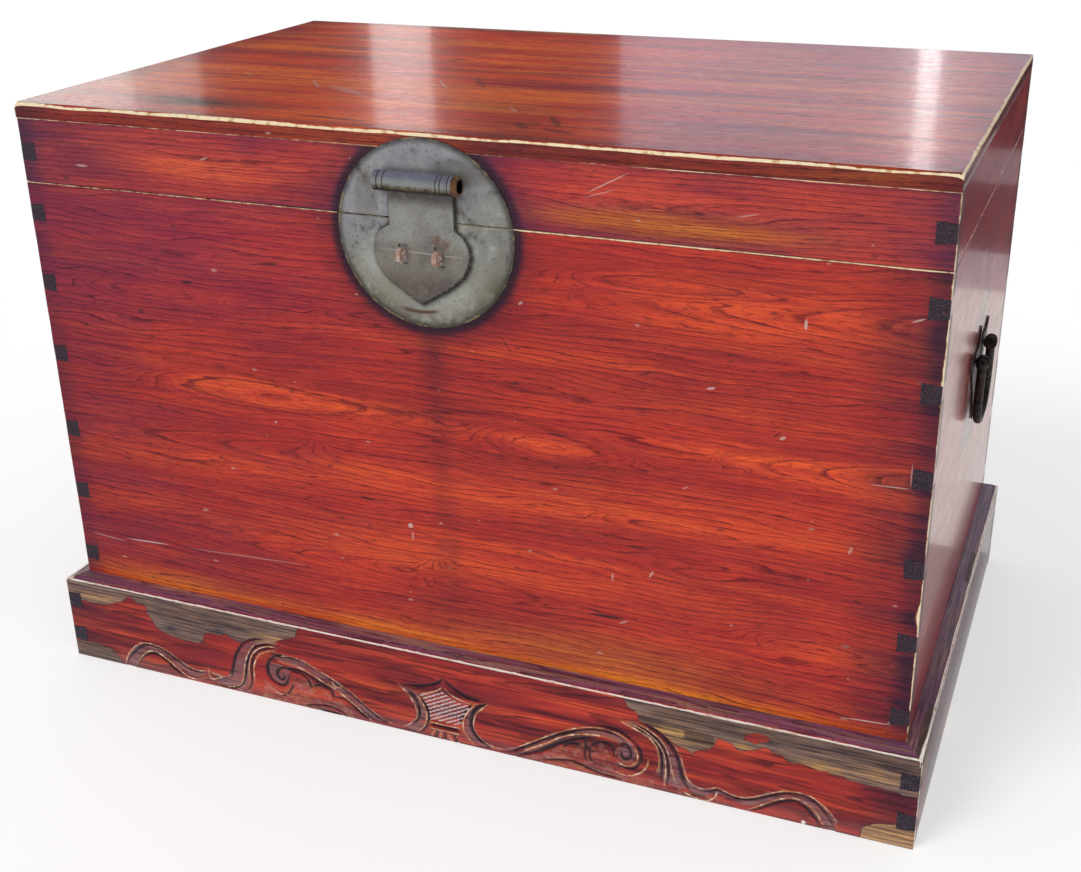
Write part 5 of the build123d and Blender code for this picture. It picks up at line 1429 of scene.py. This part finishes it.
def hasp_material():
    T = Tree("patina_hasp")
    obj = T.n("TexCoord").outputs["Object"]
    sep = T.n("SeparateXYZ")
    T.put(sep.inputs[0], obj)
    zh = sep.outputs["Z"]
    big = T.noise(T.scaled(obj, 26, 26, 26, (2, 0, 6)), 1.0, 5.0, 0.6)
    mid = T.noise(T.scaled(obj, 90, 90, 90, (4, 1, 1)), 1.0, 5.0, 0.62)
    fine = T.noise(T.scaled(obj, 420, 420, 420), 1.0, 4.0, 0.6)
    neck = T.mix(T.ramp(big, 0.35, 0.65), srgb(158, 156, 150), srgb(188, 188, 178))
    heart = T.mix(T.ramp(big, 0.35, 0.65), srgb(136, 130, 124), srgb(168, 162, 150))
    col = T.mix(T.ramp(zh, 0.556, 0.540), neck, heart)
    col = T.mix(T.math("MULTIPLY", T.ramp(T.math("ADD", zh, T.math("MULTIPLY", mid, 0.01)), 0.586, 0.601), 0.7), col, srgb(70, 62, 54))
    low = T.ramp(zh, 0.532, 0.505)
    col = T.mix(T.math("MULTIPLY", low, 0.55), col, srgb(92, 72, 66))
    col = T.mix(T.math("MULTIPLY", T.ramp(mid, 0.54, 0.70), 0.5), col, srgb(176, 168, 156))
    col = T.mix(T.math("MULTIPLY", T.ramp(fine, 0.50, 0.68), 0.35), col, srgb(96, 80, 74))
    rust = T.math("MULTIPLY", T.math("MULTIPLY", T.mark(obj, (0.006, -0.297, 0.553), (0.016, 0.01, 0.010)), T.ramp(mid, 0.30, 0.62)), 0.6)
    col = T.mix(rust, col, srgb(120, 66, 40))
    crease = T.math("MULTIPLY", T.ramp(T.math("ABSOLUTE", T.math("SUBTRACT", zh, T.math("ADD", 0.5405, T.math("MULTIPLY", sep.outputs["X"], -0.02)))), 0.0011, 0.0002), T.mark(obj, (-0.013, -0.297, 0.5405), (0.05, 0.02, 0.01)))
    col = T.mix(T.math("MULTIPLY", crease, 0.8), col, srgb(206, 202, 188))
    # barrel: brown speckle under a grey-lilac crown; the darker underside is painted shade and the silver-grey and
    # lilac crown is a painted highlight
    brown = T.mix(T.ramp(fine, 0.40, 0.56), srgb(92, 78, 56), srgb(142, 134, 112))
    zw = T.math("ADD", zh, T.math("MULTIPLY", T.math("SUBTRACT", mid, 0.5), 0.006))
    brown = T.mix(T.ramp(zw, 0.6065, 0.6025), brown, srgb(62, 50, 40))
    brown = T.mix(T.ramp(zw, 0.6060, 0.6105), brown, srgb(168, 172, 170))
    brown = T.mix(T.math("MULTIPLY", T.ramp(zw, 0.6125, 0.6165), 0.85), brown, srgb(142, 142, 166))
    col = T.mix(T.ramp(zh, 0.5985, 0.6005), col, brown)
    rings = None
    for c in (-0.0478, -0.0415, 0.0128, 0.0172, 0.0245):
        r_ = T.ramp(T.math("ABSOLUTE", T.math("SUBTRACT", sep.outputs["X"], c)), 0.0009, 0.0003)
        rings = r_ if rings is None else T.math("MAXIMUM", rings, r_)
    rings = T.math("MULTIPLY", rings, T.ramp(zh, 0.5985, 0.6005))
    col = T.mix(T.math("MULTIPLY", rings, 0.75), col, srgb(64, 54, 50))
    rough = T.math("ADD", 0.34, T.math("MULTIPLY", mid, 0.24))
    nrm = T.bump(T.math("ADD", T.math("MULTIPLY", mid, 0.6), T.math("MULTIPLY", fine, 0.4)), 0.32, 0.0008)
    nrm = T.bump(T.math("SUBTRACT", 1.0, rings), 0.6, 0.001, nrm)
    return T.finish(col, rough, nrm, metallic=T.math("ADD", 0.45, T.math("MULTIPLY", big, 0.3)))


def iron_material(name, dark_c, light_c, rust_c, metallic=0.75, rough0=0.34, hole=None):
    T = Tree(name)
    obj = T.n("TexCoord").outputs["Object"]
    big = T.noise(T.scaled(obj, 40, 40, 40, (2, 0, 6)), 1.0, 4.0, 0.6)
    fine = T.noise(T.scaled(obj, 360, 360, 360), 1.0, 5.0, 0.65)
    col = T.mix(T.ramp(fine, 0.36, 0.64), dark_c, light_c)
    col = T.mix(T.math("MULTIPLY", T.ramp(big, 0.46, 0.62), 0.7), col, rust_c)
    # a near-black disc on the end for the hole in the tube: painted shade inside the hole
    if hole:
        sep = T.n("SeparateXYZ")
        T.put(sep.inputs[0], obj)
        hy, hz = T.math("SUBTRACT", sep.outputs["Y"], hole[0]), T.math("SUBTRACT", sep.outputs["Z"], hole[1])
        rad = T.math("SQRT", T.math("ADD", T.math("MULTIPLY", hy, hy), T.math("MULTIPLY", hz, hz)))
        rad = T.math("ADD", rad, T.math("MULTIPLY", T.math("SUBTRACT", fine, 0.5), hole[2] * 0.16))
        col = T.mix(T.ramp(rad, hole[2] * 0.80, hole[2] * 0.66), col, srgb(22, 16, 13))
    rough = T.math("ADD", rough0, T.math("MULTIPLY", fine, 0.26))
    nrm = T.bump(T.math("ADD", T.math("MULTIPLY", fine, 0.5), T.math("MULTIPLY", big, 0.5)), 0.35, 0.0009)
    return T.finish(col, rough, nrm, metallic=metallic)


plate_mat = plate_material()
hasp_mat = hasp_material()
iron_mat = iron_material("aged_iron", srgb(40, 34, 34), srgb(96, 86, 84), srgb(74, 54, 46))
copper_mat = iron_material("aged_copper", srgb(140, 116, 106), srgb(226, 204, 198), srgb(170, 128, 104), 0.25, 0.26)
plain_mat = plain_material()


def dress(node, mat, bevel=0.0, segments=2, angle=35):
    ob = bpy.data.objects.get(node)
    if ob is None:
        ob = next(o for o in bpy.data.objects if o.name.split(".")[0] == node)
    for k in range(max(1, len(ob.material_slots))):
        if k < len(ob.material_slots):
            ob.material_slots[k].link = "OBJECT"
            ob.material_slots[k].material = mat
    if bevel:
        b = ob.modifiers.new("edge", "BEVEL")
        b.width = bevel
        b.segments = segments
        b.limit_method = "ANGLE"
        b.angle_limit = math.radians(angle)
        b.harden_normals = False
    return ob


for nm in ("floor_front_board", "floor_middle_board", "floor_back_board", "base_front_ledger", "base_back_ledger", "base_left_ledger", "base_right_ledger"):
    dress(nm, plain_mat, 0.0006)
HEART = [(-45, 600), (-45, 566), (-49, 563.5), (-56, 559), (-61, 551), (-63, 541), (-61.5, 531), (-57, 521), (-50, 514), (-40, 506.5), (-28, 498.5), (-15.5, 491), (-3, 498.5), (10, 506), (21, 514), (29, 522), (34, 531), (36.5, 541), (35, 551), (29.5, 559.5), (23, 564), (21.5, 566), (21.5, 600)]


def plate_half(node, body, seam, up):
    """Half of the round lock plate: a worn sheet with a rolled rim, dished a little."""
    off = seam - 558.0
    NR, NT = 62, 150
    th = np.linspace(0, math.pi, NT) if up else np.linspace(math.pi, 2 * math.pi, NT)
    reach = -off * np.sin(th) + np.sqrt(92.0 ** 2 - (off * np.cos(th)) ** 2)
    fr = np.concatenate([np.linspace(0.004, 0.955, NR - 8), 1 - np.array([0.034, 0.024, 0.016, 0.0105, 0.0065, 0.0035, 0.0013, 0.0])])
    rr, tt = np.meshgrid(fr, np.arange(NT), indexing="ij")
    x = -10 + rr * reach[tt] * np.cos(th[tt])
    z = seam + rr * reach[tt] * np.sin(th[tt])
    x, z = x.ravel(), z.ravel()
    e = 92.0 - np.hypot(x + 10, z - 558)
    s_ = np.abs(z - seam)
    d = np.maximum(round_depth(np.maximum(e, 0), 0.75 + 0.2 * noise2(x / 9, z / 9, 503)), round_depth(s_, 0.3))
    d = np.maximum(d, 0.05 + 0.28 * (fbm(x / 34, z / 34, 501, 3) - 0.3))
    d = np.clip(d + 0.12 * sstep(e, 5.5, 3.0) * sstep(e, 1.0, 2.5), 0, 1.3)
    front = np.stack([x, -294.5 + d, z], 1)
    back = np.stack([x, np.full_like(x, -293.0), z], 1)
    n = len(x)
    idx = np.arange(n).reshape(NR, NT)
    a, b, c, q = idx[:-1, :-1].ravel(), idx[1:, :-1].ravel(), idx[1:, 1:].ravel(), idx[:-1, 1:].ravel()
    faces = np.stack([a, b, c, q], 1).tolist() + np.stack([q + n, c + n, b + n, a + n], 1).tolist()
    ring = list(idx[:, 0]) + list(idx[-1, 1:]) + list(idx[::-1, -1][1:]) + list(idx[0, ::-1][1:-1])
    for k in range(len(ring)):
        p, r = int(ring[k]), int(ring[(k + 1) % len(ring)])
        faces.append([p, p + n, r + n, r])
    co = np.concatenate([front, back])
    X, Z = co[:, 0], co[:, 2]
    # painted shadow round the hasp, spread to the lower right, and a painted shade band under the hinge barrel
    pts = np.array(HEART + [HEART[0]], float)
    dist, _ = seg_dist(X, Z, pts)
    dist2, _ = seg_dist(X - 1.6, Z + 1.6, pts)
    out = ~inside(X, Z, HEART)
    g = np.maximum(np.exp(-(dist / 2.2) ** 2) * 0.85, np.exp(-(dist2 / 3.4) ** 2)) * out * (Z < 603)
    g = np.maximum(g, 0.6 * np.exp(-((Z - 598) / 5) ** 2) * sstep(X, -58, -50) * sstep(X, 38, 28))
    mesh_object(node + "_worn", co, faces, body, 40, [plate_mat], {"hasp_shadow": g}, [node])


plate_half("lock_plate_lower", "chest", 571.1, False)
plate_half("lock_plate_upper", "lid", 572.7, True)
dress("hasp", hasp_mat, 0.0005)
for nm in ("hasp_left_staple", "hasp_right_staple"):
    dress(nm, copper_mat, 0.0006)
for nm in ("hasp_hinge_left_eye", "hasp_hinge_right_eye"):
    dress(nm, hasp_mat, 0.0006)
pin_box = np.array(bpy.data.objects["hasp_hinge_pin"].bound_box)
pin_mid, pin_r = (pin_box.min(0) + pin_box.max(0)) / 2, float(np.ptp(pin_box[:, 2])) / 2
dress("hasp_hinge_pin", iron_material("aged_tube", srgb(98, 70, 52), srgb(186, 150, 116), srgb(136, 92, 60), 0.7, 0.30, (float(pin_mid[1]), float(pin_mid[2]), pin_r)), 0.0006)
for sd in ("left", "right"):
    for part in ("handle_plate", "handle_front_post", "handle_back_post", "bail", "hinge_body_leaf", "hinge_lid_leaf", "hinge_pin"):
        dress(f"{sd}_{part}", iron_mat, 0.0003)
for nm in ("hinge_body_nails", "hinge_lid_nails"):
    dress(nm, iron_mat)

# ------------------------------------------------------------------ lights, floor, backdrop cards
FLOOR = Tree("floor")
obj_c = FLOOR.n("TexCoord").outputs["Object"]
fn = FLOOR.noise(FLOOR.scaled(obj_c, 1.2, 1.2, 1.2), 1.0, 3.0, 0.5)
floor_mat = FLOOR.finish(FLOOR.mix(fn, (0.60, 0.60, 0.60), (0.63, 0.63, 0.63)), 0.9, Emission_Color=(1, 1, 1, 1), Emission_Strength=0.46, Specular_IOR_Level=0.0)
me = bpy.data.meshes.new("floor")
me.from_pydata([(-9, -9, 0), (9, -9, 0), (9, 9, 0), (-9, 9, 0)], [], [(0, 1, 2, 3)])
me.materials.append(floor_mat)
floor = bpy.data.objects.new("floor", me)
floor.location = (0, 0, -0.0002)
scene.collection.objects.link(floor)


def card(name, corners, colour, strength):
    """A reflection card: seen only in glossy surfaces."""
    T = bpy.data.materials.new(name)
    T.use_nodes = True
    t = T.node_tree
    t.nodes.clear()
    e = t.nodes.new("ShaderNodeEmission")
    e.inputs[0].default_value = (*colour, 1)
    e.inputs[1].default_value = strength
    o = t.nodes.new("ShaderNodeOutputMaterial")
    t.links.new(e.outputs[0], o.inputs[0])
    me = bpy.data.meshes.new(name)
    me.from_pydata(corners, [], [(0, 1, 2, 3)])
    me.materials.append(T)
    ob = bpy.data.objects.new(name, me)
    ob.visible_camera = ob.visible_diffuse = ob.visible_shadow = ob.visible_transmission = False
    scene.collection.objects.link(ob)
    return ob


CX, CY = 0.59964, -1.47432


def az_card(name, a0, a1, z0, z1, y, colour, strength):
    """A vertical card at depth y between two azimuths (degrees from +Y, to the right) as seen from the viewpoint."""
    x0, x1 = (CX + math.tan(math.radians(a)) * (y - CY) for a in (a0, a1))
    return card(name, [(x0, y, z0), (x1, y, z0), (x1, y, z1), (x0, y, z1)], colour, strength)


az_card("card_window", -19.4, 12.0, 0.90, 1.75, 2.7, (0.86, 0.93, 1.10), 0.76)
az_card("card_streak", -8.1, -7.3, 0.85, 1.75, 2.68, (0.95, 0.97, 1.0), 3.4)
az_card("card_door", -29.0, -26.7, 0.85, 1.75, 2.68, (1.0, 0.96, 0.95), 1.35)
az_card("card_left", -52.0, -38.0, 0.85, 1.75, 2.7, (0.96, 1.0, 0.98), 1.5)
az_card("card_left2", -38.0, -35.5, 0.85, 1.75, 2.72, (1.0, 1.0, 0.98), 0.7)
az_card("card_skirt", -8.0, 60.0, 0.0, 0.62, 2.75, (0.10, 0.08, 0.10), 0.5)

card("card_side_far", [(0.52, 2.35, 0.0005), (4.0, 2.35, 0.0005), (4.0, 8.0, 0.0005), (0.52, 8.0, 0.0005)], (0.9, 0.8, 0.9), 0.26)
card("card_side_dark", [(0.52, 1.72, 0.0005), (4.0, 1.72, 0.0005), (4.0, 2.35, 0.0005), (0.52, 2.35, 0.0005)], (0.9, 0.6, 0.8), 0.07)
card("card_side_mid", [(0.52, 1.45, 0.0005), (4.0, 1.45, 0.0005), (4.0, 1.72, 0.0005), (0.52, 1.72, 0.0005)], (0.95, 0.9, 1.0), 0.42)
card("card_side_pale", [(0.52, 0.32, 0.0005), (4.0, 0.32, 0.0005), (4.0, 1.45, 0.0005), (0.52, 1.45, 0.0005)], (1.0, 0.97, 0.94), 0.78)
card("card_side_near", [(0.50, -0.4, 0.0005), (4.0, -0.4, 0.0005), (4.0, 0.32, 0.0005), (0.50, 0.32, 0.0005)], (0.95, 0.9, 0.95), 0.36)
card("card_front_floor", [(-3.5, -3.5, 0.0005), (1.6, -3.5, 0.0005), (1.6, -0.33, 0.0005), (-3.5, -0.33, 0.0005)], (0.9, 0.85, 1.0), 0.26)

world = bpy.data.worlds.new("studio")
scene.world = world
world.use_nodes = True
wt = world.node_tree
wt.nodes.clear()
wo = wt.nodes.new("ShaderNodeOutputWorld")
bgc = wt.nodes.new("ShaderNodeBackground")
bgc.inputs[0].default_value = (1, 1, 1, 1)
bgc.inputs[1].default_value = 1.0
bga = wt.nodes.new("ShaderNodeBackground")
bga.inputs[0].default_value = (0.97, 0.98, 1.0, 1)
bga.inputs[1].default_value = 0.62
bgg = wt.nodes.new("ShaderNodeBackground")
bgg.inputs[0].default_value = (0.93, 0.93, 1.0, 1)
bgg.inputs[1].default_value = 0.07
lp = wt.nodes.new("ShaderNodeLightPath")
mg = wt.nodes.new("ShaderNodeMixShader")
wt.links.new(lp.outputs["Is Glossy Ray"], mg.inputs[0])
wt.links.new(bga.outputs[0], mg.inputs[1])
wt.links.new(bgg.outputs[0], mg.inputs[2])
ms = wt.nodes.new("ShaderNodeMixShader")
wt.links.new(lp.outputs["Is Camera Ray"], ms.inputs[0])
wt.links.new(mg.outputs[0], ms.inputs[1])
wt.links.new(bgc.outputs[0], ms.inputs[2])
wt.links.new(ms.outputs[0], wo.inputs[0])


def sun(name, direction, power, colour, soft):
    d = bpy.data.lights.new(name, "SUN")
    d.energy = power
    d.color = colour
    d.angle = math.radians(soft)
    o = bpy.data.objects.new(name, d)
    o.location = (-Vector(direction) * 4)
    o.rotation_euler = Vector(direction).to_track_quat("-Z", "Y").to_euler()
    o.visible_glossy = False
    scene.collection.objects.link(o)
    return o


sun("key", (0.45, 0.75, -0.75), 1.15, (1.0, 0.985, 0.96), 26)
sun("fill", (-0.75, 0.45, -0.55), 0.35, (1.0, 0.99, 1.0), 70)

scene.view_settings.view_transform = "Standard"
scene.view_settings.look = "None"
scene.view_settings.exposure = 0.0
